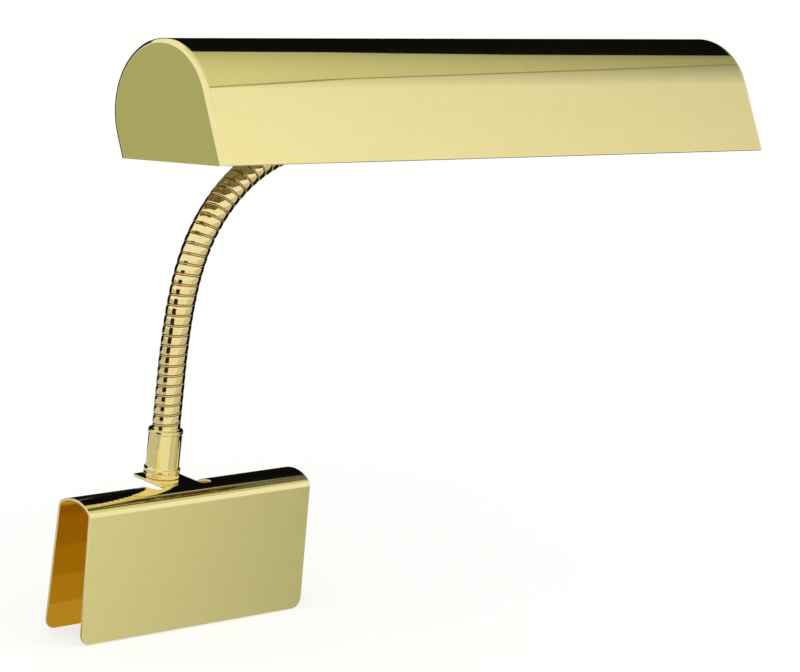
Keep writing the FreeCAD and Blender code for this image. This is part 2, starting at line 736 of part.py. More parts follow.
FERRULE = Placement(Vector(FERRULE_X, FERRULE_Y, CLIP_SHEET), Rotation())
SHELL = shade_shell()
LEFT_END = end_plate(SHELL)

nodes = {"desk_clip": desk_clip()}
for name, shape in (("lower_ferrule", lower_ferrule()), ("backing_washer", backing_washer()),
                    ("outlet_bushing", outlet_bushing())):
    nodes[name] = placed(shape, FERRULE)
for number, coil in enumerate(neck_coils(), start=1):
    nodes["neck_coil_%02d" % number] = coil
for name, shape in (("upper_ferrule", upper_ferrule()), ("upper_nipple", upper_nipple()),
                    ("upper_spring_washer", upper_spring_washer()), ("upper_nut", upper_nut())):
    nodes[name] = placed(shape, NECK_END)
for name, shape in (("shade_shell", SHELL), ("left_end_plate", LEFT_END),
                    ("right_end_plate", mirrored_end(LEFT_END)), ("socket_bracket", bracket())):
    nodes[name] = placed(shape, SHADE)
for name, shape in (("socket_nut", socket_nut()), ("socket_nipple", socket_nipple()),
                    ("socket_cap", socket_cap()), ("socket_shell", socket_shell()),
                    ("socket_liner", socket_liner()), ("terminal_screws", terminal_screws()),
                    ("switch_block", switch_block()), ("screw_shell", screw_shell()),
                    ("centre_contact", centre_contact()), ("key_stem", key_stem()),
                    ("key_knob", key_knob()), ("bulb_glass", bulb(bulb_glass())),
                    ("bulb_base", bulb(bulb_base())), ("bulb_insulator", bulb(bulb_insulator())),
                    ("bulb_tip", bulb(bulb_tip())), ("bulb_mount", bulb(bulb_mount())),
                    ("bulb_filament", bulb(bulb_filament())), ("bulb_leads", bulb(bulb_leads()))):
    nodes[name] = placed(shape, SOCKET)

os.makedirs("parts", exist_ok=True)
for name, shape in nodes.items():
    shape.exportStep("parts/%s.step" % name)
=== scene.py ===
"""Finish of a clip-on piano lamp: folded brass desk clip, gooseneck and half-round brass shade.

Lengths are in millimetres until a piece is placed, and metres after that. The origin is the middle
of the clip's channel, X runs along the clip and the shade, Y points away from the player, Z is up.
"""

import logging
import math
from collections.abc import Callable, Sequence
from dataclasses import dataclass, field
from enum import Enum
from typing import NamedTuple

import bmesh
import bpy
from mathutils import Matrix, Vector


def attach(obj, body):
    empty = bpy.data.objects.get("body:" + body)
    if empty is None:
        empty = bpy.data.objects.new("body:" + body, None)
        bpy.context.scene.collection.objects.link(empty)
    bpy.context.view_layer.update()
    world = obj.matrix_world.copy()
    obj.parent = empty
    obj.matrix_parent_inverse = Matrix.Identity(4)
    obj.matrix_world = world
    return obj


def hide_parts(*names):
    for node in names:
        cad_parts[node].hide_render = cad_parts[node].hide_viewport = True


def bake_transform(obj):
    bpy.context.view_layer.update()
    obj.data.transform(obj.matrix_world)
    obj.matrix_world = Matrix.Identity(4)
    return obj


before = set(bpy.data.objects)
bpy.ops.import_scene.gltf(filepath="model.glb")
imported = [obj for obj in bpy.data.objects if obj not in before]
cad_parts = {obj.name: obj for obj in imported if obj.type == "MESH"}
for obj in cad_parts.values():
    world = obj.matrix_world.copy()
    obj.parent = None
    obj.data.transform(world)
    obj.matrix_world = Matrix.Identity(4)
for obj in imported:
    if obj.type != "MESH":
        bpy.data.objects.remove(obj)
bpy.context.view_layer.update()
LOG = logging.getLogger("piano_lamp")

MM = 0.001
SHARP_ANGLE = math.radians(38)
RIM_ANGLE = math.radians(80)
FLAT_ANGLE = math.radians(1)
MERGE_MM = 0.002
ON_PLANE_MM = 0.01
COIL_CUT_MM = 0.0005
SLICE_MM = 0.0002


class Slot(Enum):
    """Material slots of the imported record."""

    BRASS = "polished_brass"
    STEEL = "plated_steel"
    SOCKET_BRASS = "socket_brass"
    PAPER = "socket_liner_paper"
    PHENOLIC = "black_phenolic"
    GLASS = "bulb_glass"
    ALUMINIUM = "bulb_aluminium"
    BLACK_GLASS = "bulb_black_glass"
    SOLDER = "bulb_solder"
    WIRE = "bulb_wire"


class Corner(NamedTuple):
    """A corner of an outline, with the radius that rounds it."""

    across: float
    along: float
    rounding: float = 0.0


# --- small helpers --------------------------------------------------------------------------------


def linear(colour: str) -> tuple[float, float, float, float]:
    """Turn an sRGB hex colour into linear RGBA.

    Args:
        colour: Colour such as "#F0E4AE".

    Returns:
        Linear red, green, blue and an alpha of 1.
    """
    channels = [int(colour[i : i + 2], 16) / 255 for i in (1, 3, 5)]
    red, green, blue = [
        c / 12.92 if c <= 0.04045 else ((c + 0.055) / 1.055) ** 2.4 for c in channels
    ]
    return red, green, blue, 1.0


def add_node(
    tree: bpy.types.NodeTree,
    kind: str,
    inputs: dict[str | int, object] | None = None,
    **settings: object,
) -> bpy.types.Node:
    """Add a shader node with its settings, values and links.

    Args:
        tree: Node tree that gets the node.
        kind: Blender's name for the node type.
        inputs: Value, or socket to link from, for each named or numbered input.
        **settings: Properties of the node itself.

    Returns:
        The new node.
    """
    node = tree.nodes.new(kind)
    for name, value in settings.items():
        setattr(node, name, value)
    for socket, value in (inputs or {}).items():
        if isinstance(value, bpy.types.NodeSocket):
            tree.links.new(value, node.inputs[socket])
        else:
            node.inputs[socket].default_value = value
    return node


def new_material(name: str) -> tuple[bpy.types.Material, bpy.types.NodeTree]:
    """Make an empty node material.

    Args:
        name: Name of the material.

    Returns:
        The material and its cleared node tree.
    """
    material = bpy.data.materials.new(name)
    material.use_nodes = True
    material.node_tree.nodes.clear()
    return material, material.node_tree


def shift(x: float = 0.0, y: float = 0.0, z: float = 0.0) -> Matrix:
    """Matrix that moves by the given millimetres."""
    return Matrix.Translation((x, y, z))


def turn(degrees: float, axis: str) -> Matrix:
    """Matrix that turns about an axis."""
    return Matrix.Rotation(math.radians(degrees), 4, axis)


# --- finishes -------------------------------------------------------------------------------------


def uneven_normal(
    tree: bpy.types.NodeTree,
    place: bpy.types.NodeSocket,
    size_mm: float,
    depth_mm: float,
    detail: float = 1.0,
) -> bpy.types.NodeSocket:
    """Bend the normals a little, as uneven sheet, glass or paint does.

    Args:
        tree: Node tree of the material.
        place: Object coordinates.
        size_mm: Size of the unevenness.
        depth_mm: Depth of the unevenness.
        detail: Finer ripples in it.

    Returns:
        The bent normal.
    """
    waves = add_node(
        tree,
        "ShaderNodeTexNoise",
        {"Vector": place, "Scale": 1 / (size_mm * MM), "Detail": detail},
    ).outputs[0]
    bump = {"Height": waves, "Distance": depth_mm * MM, "Strength": 1.0}
    return add_node(tree, "ShaderNodeBump", bump).outputs["Normal"]


@dataclass(frozen=True)
class Finish:
    """Finish of one real material; each kind of finish says how its surface looks."""

    name: str

    def surface(
        self, tree: bpy.types.NodeTree, place: bpy.types.NodeSocket
    ) -> dict[str | int, object]:
        """Make the textures of the surface.

        Args:
            tree: Node tree of the material.
            place: Object coordinates.

        Returns:
            Value or link of each shader input that isn't at its default.
        """
        raise NotImplementedError

    def build(self) -> bpy.types.Material:
        """Make the material."""
        material, tree = new_material(self.name)
        place = add_node(tree, "ShaderNodeTexCoord").outputs["Object"]
        shader = add_node(tree, "ShaderNodeBsdfPrincipled", self.surface(tree, place))
        add_node(tree, "ShaderNodeOutputMaterial", {"Surface": shader.outputs[0]})
        return material


@dataclass(frozen=True)
class MetalFinish(Finish):
    """A bare or lacquered metal with fine polishing marks and a slightly uneven sheet.

    The marks blur a reflection a little more along some patches, and the unevenness bends long
    reflections by a hair, which is what tells rolled and buffed sheet from a perfect mirror.
    """

    colour: str
    tint: str
    roughness: float
    roughness_spread: float
    patch_mm: float
    wave_mm: float
    wave_depth_mm: float
    lacquer: float = 0.0
    lacquer_roughness: float = 0.04
    patch_range: tuple[float, float] = (0.3, 0.7)

    def surface(
        self, tree: bpy.types.NodeTree, place: bpy.types.NodeSocket
    ) -> dict[str | int, object]:
        """Make the polishing marks, a colour that follows them and the sheet's waves."""
        patches = add_node(
            tree,
            "ShaderNodeTexNoise",
            {"Vector": place, "Scale": 1 / (self.patch_mm * MM), "Detail": 4.0, "Roughness": 0.6},
        ).outputs[0]
        rough = add_node(
            tree,
            "ShaderNodeMapRange",
            {
                "Value": patches,
                "From Min": self.patch_range[0],
                "From Max": self.patch_range[1],
                "To Min": self.roughness,
                "To Max": self.roughness + self.roughness_spread,
            },
        ).outputs["Result"]
        shade = add_node(
            tree,
            "ShaderNodeMix",
            {0: patches, 6: linear(self.colour), 7: linear(self.tint)},
            data_type="RGBA",
        ).outputs[2]
        return {
            "Base Color": shade,
            "Metallic": 1.0,
            "Roughness": rough,
            "Normal": uneven_normal(tree, place, self.wave_mm, self.wave_depth_mm),
            "Coat Weight": self.lacquer,
            "Coat Roughness": self.lacquer_roughness,
        }


@dataclass(frozen=True)
class MouldedFinish(Finish):
    """Moulded, painted or pressed non-metal: one colour with faint mottling and a fine texture."""

    colour: str
    tint: str
    roughness: float
    mottle_mm: float
    texture_mm: float
    texture_depth_mm: float
    sheen_coat: float = 0.0

    def surface(
        self, tree: bpy.types.NodeTree, place: bpy.types.NodeSocket
    ) -> dict[str | int, object]:
        """Make the mottled colour and the fine texture."""
        mottle = add_node(
            tree,
            "ShaderNodeTexNoise",
            {"Vector": place, "Scale": 1 / (self.mottle_mm * MM), "Detail": 3.0},
        ).outputs[0]
        shade = add_node(
            tree,
            "ShaderNodeMix",
            {0: mottle, 6: linear(self.colour), 7: linear(self.tint)},
            data_type="RGBA",
        ).outputs[2]
        return {
            "Base Color": shade,
            "Roughness": self.roughness,
            "Normal": uneven_normal(tree, place, self.texture_mm, self.texture_depth_mm, 2.0),
            "Coat Weight": self.sheen_coat,
        }


@dataclass(frozen=True)
class BlownGlass(Finish):
    """Soda-lime glass, blown and fire-polished: clear with faint thickness waves."""

    colour: str = "#FBFDFB"
    roughness: float = 0.01
    ior: float = 1.51
    wave_mm: float = 14.0
    wave_depth_mm: float = 0.04

    def surface(
        self, tree: bpy.types.NodeTree, place: bpy.types.NodeSocket
    ) -> dict[str | int, object]:
        """Make the waves of the glass."""
        return {
            "Base Color": linear(self.colour),
            "Roughness": self.roughness,
            "IOR": self.ior,
            "Transmission Weight": 1.0,
            "Normal": uneven_normal(tree, place, self.wave_mm, self.wave_depth_mm),
        }


Paint = Callable[[Finish], bpy.types.Material]

# Rolled brass sheet, buffed to a mirror and lacquered: pale yellow, with crisp reflections that
# go amber where brass reflects brass.
LACQUERED_BRASS = MetalFinish(
    "buffed_lacquered_brass", "#F2E6AE", "#EDDFA2", 0.035, 0.03, 9.0, 60.0, 0.012, lacquer=0.15
)
# Coiled brass strip: the same lacquer, a little duller because strip can't be buffed between turns.
COILED_BRASS = MetalFinish(
    "coiled_brass_strip", "#F3E5AC", "#EBDA97", 0.05, 0.05, 3.0, 12.0, 0.006, lacquer=0.1
)
# Brass down in the coil's grooves, where polish can't reach and lacquer pools: dull. Its amber,
# darker colour is painted shade in the grooves.
GROOVE_PAINTED_SHADE_BRASS = MetalFinish(
    "groove_painted_shade_brass", "#D6A04A", "#B47E2E", 0.16, 0.1, 2.0, 4.0, 0.01, lacquer=0.3
)
# Turned brass: buffed cups with the faint rings that a lathe tool leaves.
TURNED_BRASS = MetalFinish(
    "turned_lacquered_brass", "#F3E4A6", "#EAD892", 0.04, 0.04, 4.0, 10.0, 0.008, lacquer=0.15
)
# Drawn brass of the lamp socket: thinner lacquer, so it looks a little browner and softer.
SOCKET_BRASS = MetalFinish(
    "drawn_socket_brass", "#DDBB72", "#CFA95C", 0.14, 0.08, 5.0, 14.0, 0.02, lacquer=0.1
)
# Zinc-plated steel: grey with a blueish cast and a soft, patchy gloss.
ZINC_PLATED_STEEL = MetalFinish(
    "zinc_plated_steel", "#C9CCCE", "#B4B8BC", 0.24, 0.12, 2.5, 6.0, 0.02
)
# Rolled aluminium bulb base: pale grey, satin from the rolling.
ROLLED_ALUMINIUM = MetalFinish(
    "rolled_aluminium", "#D7D8DA", "#C4C6C9", 0.22, 0.1, 3.0, 8.0, 0.02
)
# Tin and lead solder: dull grey, rippled as it froze.
FROZEN_SOLDER = MetalFinish("frozen_solder", "#A9ABAE", "#8E9196", 0.35, 0.15, 1.2, 1.6, 0.06)
# Drawn nickel and tungsten wire: dark grey with a soft shine.
DRAWN_WIRE = MetalFinish("drawn_tungsten_wire", "#8B8A88", "#6F6E6D", 0.3, 0.1, 1.0, 3.0, 0.01)
# Stove-enamelled reflector paint: warm white, glossy, with a faint orange-peel texture.
WHITE_ENAMEL = MouldedFinish(
    "stove_enamel_white", "#F1EFE6", "#ECE9DD", 0.28, 40.0, 1.6, 0.015, sheen_coat=0.2
)
# Compression-moulded phenolic resin: near-black, glossy, with a slight brown mottle.
BLACK_PHENOLIC = MouldedFinish(
    "moulded_phenolic", "#17130F", "#241C16", 0.3, 2.5, 0.8, 0.01, sheen_coat=0.1
)
# Vulcanised fibre sleeve: matt grey-brown paper with visible fibres.
VULCANISED_FIBRE = MouldedFinish("vulcanised_fibre", "#8C7A62", "#75654F", 0.75, 1.5, 0.4, 0.03)
# Pressed vitrite, the dark glass round a bulb's tip: purple-black and glassy.
PRESSED_VITRITE = MouldedFinish("pressed_vitrite", "#120F18", "#1C1824", 0.15, 3.0, 2.0, 0.01)
# Soda-lime glass of the bulb, blown thin: clear, with waves from the blowing.
CLEAR_GLASS = BlownGlass("blown_soda_lime_glass")


# --- meshes ---------------------------------------------------------------------------------------


def add_chain(
    bm: bmesh.types.BMesh, corners: Sequence[Corner], closed: bool, segments: int = 4
) -> None:
    """Add an outline in the XZ plane and round its corners.

    Args:
        bm: Mesh that gets the outline.
        corners: Corners as (X, Z, rounding).
        closed: Whether the last corner joins the first.
        segments: Edges in each rounding.
    """
    made = [bm.verts.new((corner.across, 0.0, corner.along)) for corner in corners]
    for first, second in zip(made, made[1:] + made[:1] if closed else made[1:]):
        bm.edges.new((first, second))
    for vert, corner in zip(made, corners):
        if corner.rounding > 0:
            round_corner(bm, vert, corner.rounding, segments)


def bevelled(
    bm: bmesh.types.BMesh,
    geom: Sequence[bmesh.types.BMVert | bmesh.types.BMEdge],
    reach: float,
    segments: int,
    affect: str = "EDGES",
) -> None:
    """Round edges, or corners of an outline, with an even arc.

    Args:
        bm: Mesh that holds them.
        geom: The edges or corners.
        reach: How far the rounding reaches from the sharp edge or corner.
        segments: Faces or edges in the arc.
        affect: EDGES, or VERTICES for corners.
    """
    bmesh.ops.bevel(
        bm,
        geom=geom,
        offset=reach,
        offset_type="OFFSET",
        segments=segments,
        profile=0.5,
        affect=affect,
        material=-1,
        clamp_overlap=True,
    )


def round_corner(
    bm: bmesh.types.BMesh, vert: bmesh.types.BMVert, radius: float, segments: int
) -> None:
    """Round one corner of an outline.

    Args:
        bm: Mesh that holds the corner.
        vert: The corner.
        radius: Radius of the rounding.
        segments: Edges in the rounding.
    """
    first, second = [edge.other_vert(vert).co - vert.co for edge in vert.link_edges]
    reach = radius / math.tan(first.angle(second) / 2)
    bevelled(bm, [vert], reach, segments, "VERTICES")


def drawn_out(bm: bmesh.types.BMesh, faces: Sequence[bmesh.types.BMFace], way: Vector) -> None:
    """Draw flat faces out into a solid and turn its faces outwards.

    Args:
        bm: Mesh that holds the faces.
        faces: The faces.
        way: How far they are drawn.
    """
    grown = bmesh.ops.extrude_face_region(bm, geom=faces)
    moved = [item for item in grown["geom"] if isinstance(item, bmesh.types.BMVert)]
    bmesh.ops.translate(bm, vec=way, verts=moved)
    bmesh.ops.recalc_face_normals(bm, faces=bm.faces[:])


def turned(
    corners: Sequence[Corner], steps: int = 96, segments: int = 4, closed: bool = True
) -> bmesh.types.BMesh:
    """Turn an outline about Z.

    Args:
        corners: Outline as (radius, height, rounding).
        steps: Faces round the piece.
        segments: Edges in each rounding.
        closed: Whether the outline closes on itself; an open one has both ends on the axis.

    Returns:
        A closed mesh with its faces outwards.
    """
    bm = bmesh.new()
    add_chain(bm, corners, closed, segments)
    bmesh.ops.spin(
        bm,
        geom=bm.verts[:] + bm.edges[:],
        cent=(0, 0, 0),
        axis=(0, 0, 1),
        angle=2 * math.pi,
        steps=steps,
        use_merge=True,
        use_duplicate=False,
    )
    return closed_mesh(bm)


def closed_mesh(bm: bmesh.types.BMesh) -> bmesh.types.BMesh:
    """Merge doubled points and turn the faces outwards.

    Args:
        bm: Mesh to clean.

    Returns:
        The same mesh.
    """
    bmesh.ops.remove_doubles(bm, verts=bm.verts[:], dist=MERGE_MM)
    bmesh.ops.recalc_face_normals(bm, faces=bm.faces[:])
    return bm


def rolled_thread(
    radius: float, depth: float, low: float, high: float, pitch: float, rounding: float
) -> list[Corner]:
    """Outline of a screw thread from one height to another, as rings.

    Args:
        radius: Crest radius.
        depth: Depth of the thread.
        low: Where the thread starts.
        high: Where it ends.
        pitch: Distance between crests.
        rounding: Radius of crests and roots.

    Returns:
        Corners as (radius, height, rounding).
    """
    made = []
    height = low
    while height < high:
        made.append(Corner(radius - depth, height, rounding))
        made.append(Corner(radius, height + pitch / 2, rounding))
        height += pitch
    return made


def thickened(
    bm: bmesh.types.BMesh,
    thickness: float,
    rounding: float,
    stays_sharp: Callable[[Vector], bool] = lambda middle: False,
) -> bmesh.types.BMesh:
    """Fill a flat outline, give it a thickness and round the rims.

    Args:
        bm: Outline in the XZ plane.
        thickness: Thickness of the plate, along Y.
        rounding: Radius of the rims.
        stays_sharp: Says whether a rim's middle lies where the plate joins another one.

    Returns:
        The plate, between Y = 0 and its thickness.
    """
    bmesh.ops.triangle_fill(bm, use_beauty=True, use_dissolve=False, edges=bm.edges[:])
    bmesh.ops.dissolve_limit(
        bm, angle_limit=FLAT_ANGLE, verts=[], edges=bm.edges[:], delimit={"NORMAL"}
    )
    drawn_out(bm, bm.faces[:], Vector((0.0, thickness, 0.0)))
    rims = []
    for edge in bm.edges:
        middle = (edge.verts[0].co + edge.verts[1].co) / 2
        level = abs((edge.verts[0].co - edge.verts[1].co).y) < MERGE_MM
        if level and edge.calc_face_angle(0.0) > RIM_ANGLE and not stays_sharp(middle):
            rims.append(edge)
    bevelled(bm, rims, rounding, 3)
    return bm


def joined(first: bmesh.types.BMesh, second: bmesh.types.BMesh) -> bmesh.types.BMesh:
    """Put two meshes into one.

    Args:
        first: Mesh that is kept.
        second: Mesh that is added and freed.

    Returns:
        The first mesh.
    """
    carrier = bpy.data.meshes.new("carrier")
    second.to_mesh(carrier)
    first.from_mesh(carrier)
    second.free()
    bpy.data.meshes.remove(carrier)
    return first


def sliced(bm: bmesh.types.BMesh, point: Vector, normal: Vector) -> None:
    """Cut a line of edges round a mesh where a plane meets it.

    Args:
        bm: Mesh to cut.
        point: A point of the plane.
        normal: The plane's normal.
    """
    geometry = bm.verts[:] + bm.edges[:] + bm.faces[:]
    bmesh.ops.bisect_plane(bm, geom=geometry, dist=SLICE_MM, plane_co=point, plane_no=normal)


def is_level(edge: bmesh.types.BMEdge, height: float) -> bool:
    """Whether an edge lies flat at a height."""
    return all(abs(vert.co.z - height) < ON_PLANE_MM for vert in edge.verts)


@dataclass
class Piece:
    """A finished shape: its mesh, its finish and what it moves with and stands for."""

    name: str
    bm: bmesh.types.BMesh
    placement: Matrix
    finishes: list[bpy.types.Material]
    slot: Slot
    body: str
    stands_for: tuple[str, ...] = ()
    blend_to: str = ""
    blend_start: Vector | None = None
    blend_end: Vector | None = None

    def place(self) -> bpy.types.Object:
        """Turn the mesh into an object in its place.

        Returns:
            The object: riding on its body, or, with blend_to set, unparented with its placement
                baked.
        """
        self.bm.transform(Matrix.Scale(MM, 4) @ self.placement)
        self.bm.normal_update()
        for face in self.bm.faces:
            face.smooth = True
        for edge in self.bm.edges:
            edge.smooth = edge.is_manifold and edge.calc_face_angle(0.0) < SHARP_ANGLE
        mesh = bpy.data.meshes.new(self.name)
        self.bm.to_mesh(mesh)
        self.bm.free()
        for finish in self.finishes:
            mesh.materials.append(finish)
        piece = bpy.data.objects.new(self.name, mesh)
        bpy.context.scene.collection.objects.link(piece)
        flat = piece.modifiers.new("flat_faces", "WEIGHTED_NORMAL")
        flat.keep_sharp = True
        if self.blend_to:
            start, end = tuple(self.blend_start), tuple(self.blend_end)
            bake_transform(piece)
            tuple(start)
            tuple(end)
        else:
            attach(piece, self.body)
        if self.stands_for:
            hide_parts(*self.stands_for)
        LOG.info("%s: %d faces on %s", self.name, len(mesh.polygons), self.body)
        return piece


def dress(node: str, finish: bpy.types.Material) -> None:
    """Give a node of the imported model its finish.

    Args:
        node: Name of the node.
        finish: Its material.
    """
    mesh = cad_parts[node].data
    mesh.materials.clear()
    mesh.materials.append(finish)
    LOG.info("%s: dressed in %s", node, finish.name)


# --- desk clip ------------------------------------------------------------------------------------


@dataclass
class DeskClip:
    """Folded sheet that hangs over the music desk, with the tab that carries the neck."""

    length: float = 129.0
    sheet: float = 1.2
    channel: float = 19.9
    rise: float = 5.15
    leg: float = 57.0
    splay: float = 1.95
    corner: float = 5.0
    tab_middle: float = -3.9
    tab_width: float = 20.6
    tab_reach: float = 22.3
    tab_corner: float = 2.0
    relief: float = 7.0
    relief_corner: float = 3.0
    relief_start: float = 1.9
    rim_round: float = 0.3
    bend_corner: float = 3.2
    crown_steps: int = 14
    corner_steps: int = 12

    def bend(self) -> tuple[float, float, float]:
        """Crown radius and side radius outside the bend, and the crown's half angle."""
        half_width = self.channel / 2
        crown = (half_width**2 + self.rise**2 - 2 * half_width * self.bend_corner) / (
            2 * (self.rise - self.bend_corner)
        )
        half_angle = math.atan2(half_width - self.bend_corner, crown - self.rise)
        return crown + self.sheet, self.bend_corner + self.sheet, half_angle

    def quarter(self) -> float:
        """Length of sheet in one half of the bend, on the outside."""
        crown, side, half_angle = self.bend()
        return crown * half_angle + side * (math.pi / 2 - half_angle)

    def folds(self) -> list[float]:
        """Distances from the top line at which the sheet turns a little."""
        crown, side, half_angle = self.bend()
        on_crown = [crown * half_angle * i / self.crown_steps for i in range(self.crown_steps)]
        rest = side * (math.pi / 2 - half_angle)
        on_side = [
            crown * half_angle + rest * i / self.corner_steps for i in range(self.corner_steps + 1)
        ]
        return on_crown + on_side

    def folded(self, along: float, depth: float) -> Vector:
        """Place of a point of the flat blank on the folded sheet.

        Args:
            along: Distance from the top line, to the back if positive.
            depth: Distance below the outside of the sheet.

        Returns:
            The point in the YZ plane.
        """
        crown, side, half_angle = self.bend()
        hand = 1.0 if along >= 0 else -1.0
        run = abs(along)
        wide = self.channel / 2 + self.sheet
        if run >= self.quarter():
            lean = math.radians(self.splay)
            down = run - self.quarter()
            outwards = Vector((math.cos(lean), math.sin(lean)))
            point = Vector((wide + down * math.sin(lean), -self.rise - down * math.cos(lean)))
        elif run > crown * half_angle:
            angle = half_angle + (run - crown * half_angle) / side
            outwards = Vector((math.sin(angle), math.cos(angle)))
            point = Vector((wide - side, -self.rise)) + outwards * side
        else:
            outwards = Vector((math.sin(run / crown), math.cos(run / crown)))
            point = Vector((0.0, self.sheet - crown)) + outwards * crown
        point -= outwards * depth
        return Vector((0.0, hand * point.x, point.y))

    def blank(self) -> bmesh.types.BMesh:
        """Cut the flat sheet with its window, and round its rims."""
        half, run = self.length / 2, self.quarter() + self.leg
        left, right = self.tab_middle - self.tab_width / 2, self.tab_middle + self.tab_width / 2
        out, start = self.relief_corner, -self.relief_start
        end = self.tab_reach + self.sheet / 2 * math.pi / 2
        bm = bmesh.new()
        quarters = ((-1, -1), (1, -1), (1, 1), (-1, 1))
        add_chain(bm, [Corner(x * half, y * run, self.corner) for x, y in quarters], True, 8)
        add_chain(
            bm,
            [
                Corner(left - self.relief, start, out),
                Corner(left, start, out),
                Corner(left, 0.0),
                Corner(right, 0.0),
                Corner(right, start, out),
                Corner(right + self.relief, start, out),
                Corner(right + self.relief, end, out),
                Corner(left - self.relief, end, out),
            ],
            True,
            6,
        )
        return thickened(
            bm, self.sheet, self.rim_round, lambda co: left < co.x < right and abs(co.z) < MERGE_MM
        )

    def tab(self) -> bmesh.types.BMesh:
        """Cut the tab as a flat plate."""
        left, right = self.tab_middle - self.tab_width / 2, self.tab_middle + self.tab_width / 2
        bm = bmesh.new()
        corners = [
            Corner(left, 0.0),
            Corner(right, 0.0),
            Corner(right, self.tab_reach, self.tab_corner),
            Corner(left, self.tab_reach, self.tab_corner),
        ]
        add_chain(bm, corners, True, 6)
        return thickened(bm, self.sheet, self.rim_round, lambda co: abs(co.z) < MERGE_MM)

    def build(self, paint: Paint) -> Piece:
        """Fold the sheet and join the tab to it.

        Args:
            paint: Gives the material of a finish.

        Returns:
            The clip.
        """
        sheet = self.blank()
        for run in self.folds():
            for side in (-1, 1):
                sliced(sheet, Vector((0.0, 0.0, side * run)), Vector((0.0, 0.0, 1.0)))
        for vert in sheet.verts:
            place = self.folded(vert.co.z, vert.co.y)
            vert.co = Vector((vert.co.x, place.y, place.z))
        tab = self.tab()
        for vert in tab.verts:
            vert.co = Vector((vert.co.x, vert.co.z, self.sheet - vert.co.y))
        folded = closed_mesh(joined(sheet, tab))
        return Piece("desk_clip_sheet", folded, Matrix.Identity(4), [paint(LACQUERED_BRASS)],
                     Slot.BRASS, "clip_base", ("desk_clip",))


# --- ferrules -------------------------------------------------------------------------------------


@dataclass
class Ferrule:
    """Turned cup that holds one end of the neck."""

    height: float = 22.0
    base_radius: float = 7.85
    top_radius: float = 7.55
    lip: float = 0.3
    lip_height: float = 1.4
    bead: float = 2.1
    bead_out: float = 0.4
    bead_round: float = 0.6
    valley_half: float = 0.2
    valley_depth: float = 0.15
    shoulder: float = 0.3
    floor: float = 12.0
    cup: float = 6.47
    spigot_radius: float = 4.9
    spigot_rim: float = 6.0
    spigot_drop: float = 2.0
    spigot_edge: float = 0.8

    def cup_outline(self, bore: float) -> list[Corner]:
        """Outline of the cup from the bore at its foot to the floor inside.

        Args:
            bore: Radius of the hole in the foot.

        Returns:
            Corners as (radius, height, rounding).
        """
        wide = self.base_radius + self.bead_out
        outer = self.top_radius + self.lip
        lip = self.height - self.lip_height
        return [
            Corner(wide, 0.0, 0.5),
            Corner(wide, self.bead - self.valley_half, self.bead_round),
            Corner(self.base_radius - self.valley_depth, self.bead, 0.1),
            Corner(wide, self.bead + self.valley_half, self.bead_round),
            Corner(wide, 2 * self.bead, self.bead_round),
            Corner(self.top_radius, 2 * self.bead + self.shoulder, 0.5),
            Corner(self.top_radius, lip - self.lip, 0.3),
            Corner(outer, lip, 0.25),
            Corner(outer, self.height, 0.35),
            Corner(self.cup, self.height, 0.2),
            Corner(self.cup, self.floor),
            Corner(bore, self.floor),
        ]

    def lower(self, paint: Paint, bore: float, place: Matrix) -> Piece:
        """Make the ferrule on the clip, with its spigot rolled over underneath.

        Args:
            paint: Gives the material of a finish.
            bore: Radius of the hole through the spigot.
            place: Frame of the ferrule.

        Returns:
            The lower ferrule.
        """
        seat = -self.spigot_drop
        outline = [
            Corner(bore, seat - self.spigot_edge, 0.2),
            Corner(self.spigot_rim, seat - self.spigot_edge, 0.35),
            Corner(self.spigot_rim, seat, 0.15),
            Corner(self.spigot_radius, seat),
            Corner(self.spigot_radius, 0.0),
        ] + self.cup_outline(bore)
        return Piece("lower_ferrule_cup", turned(outline), place, [paint(TURNED_BRASS)],
                     Slot.BRASS, "clip_base", ("lower_ferrule",))

    def upper(self, paint: Paint, bore: float, place: Matrix) -> Piece:
        """Make the ferrule at the shade's end of the neck.

        Args:
            paint: Gives the material of a finish.
            bore: Radius of the hole for the nipple.
            place: Frame of the neck's end.

        Returns:
            The upper ferrule.
        """
        flipped = place @ shift(z=self.height) @ turn(180, "X")
        outline = [Corner(bore, 0.0)] + self.cup_outline(bore)
        return Piece("upper_ferrule_cup", turned(outline), flipped, [paint(TURNED_BRASS)],
                     Slot.BRASS, "neck_end", ("upper_ferrule",))


# --- gooseneck ------------------------------------------------------------------------------------


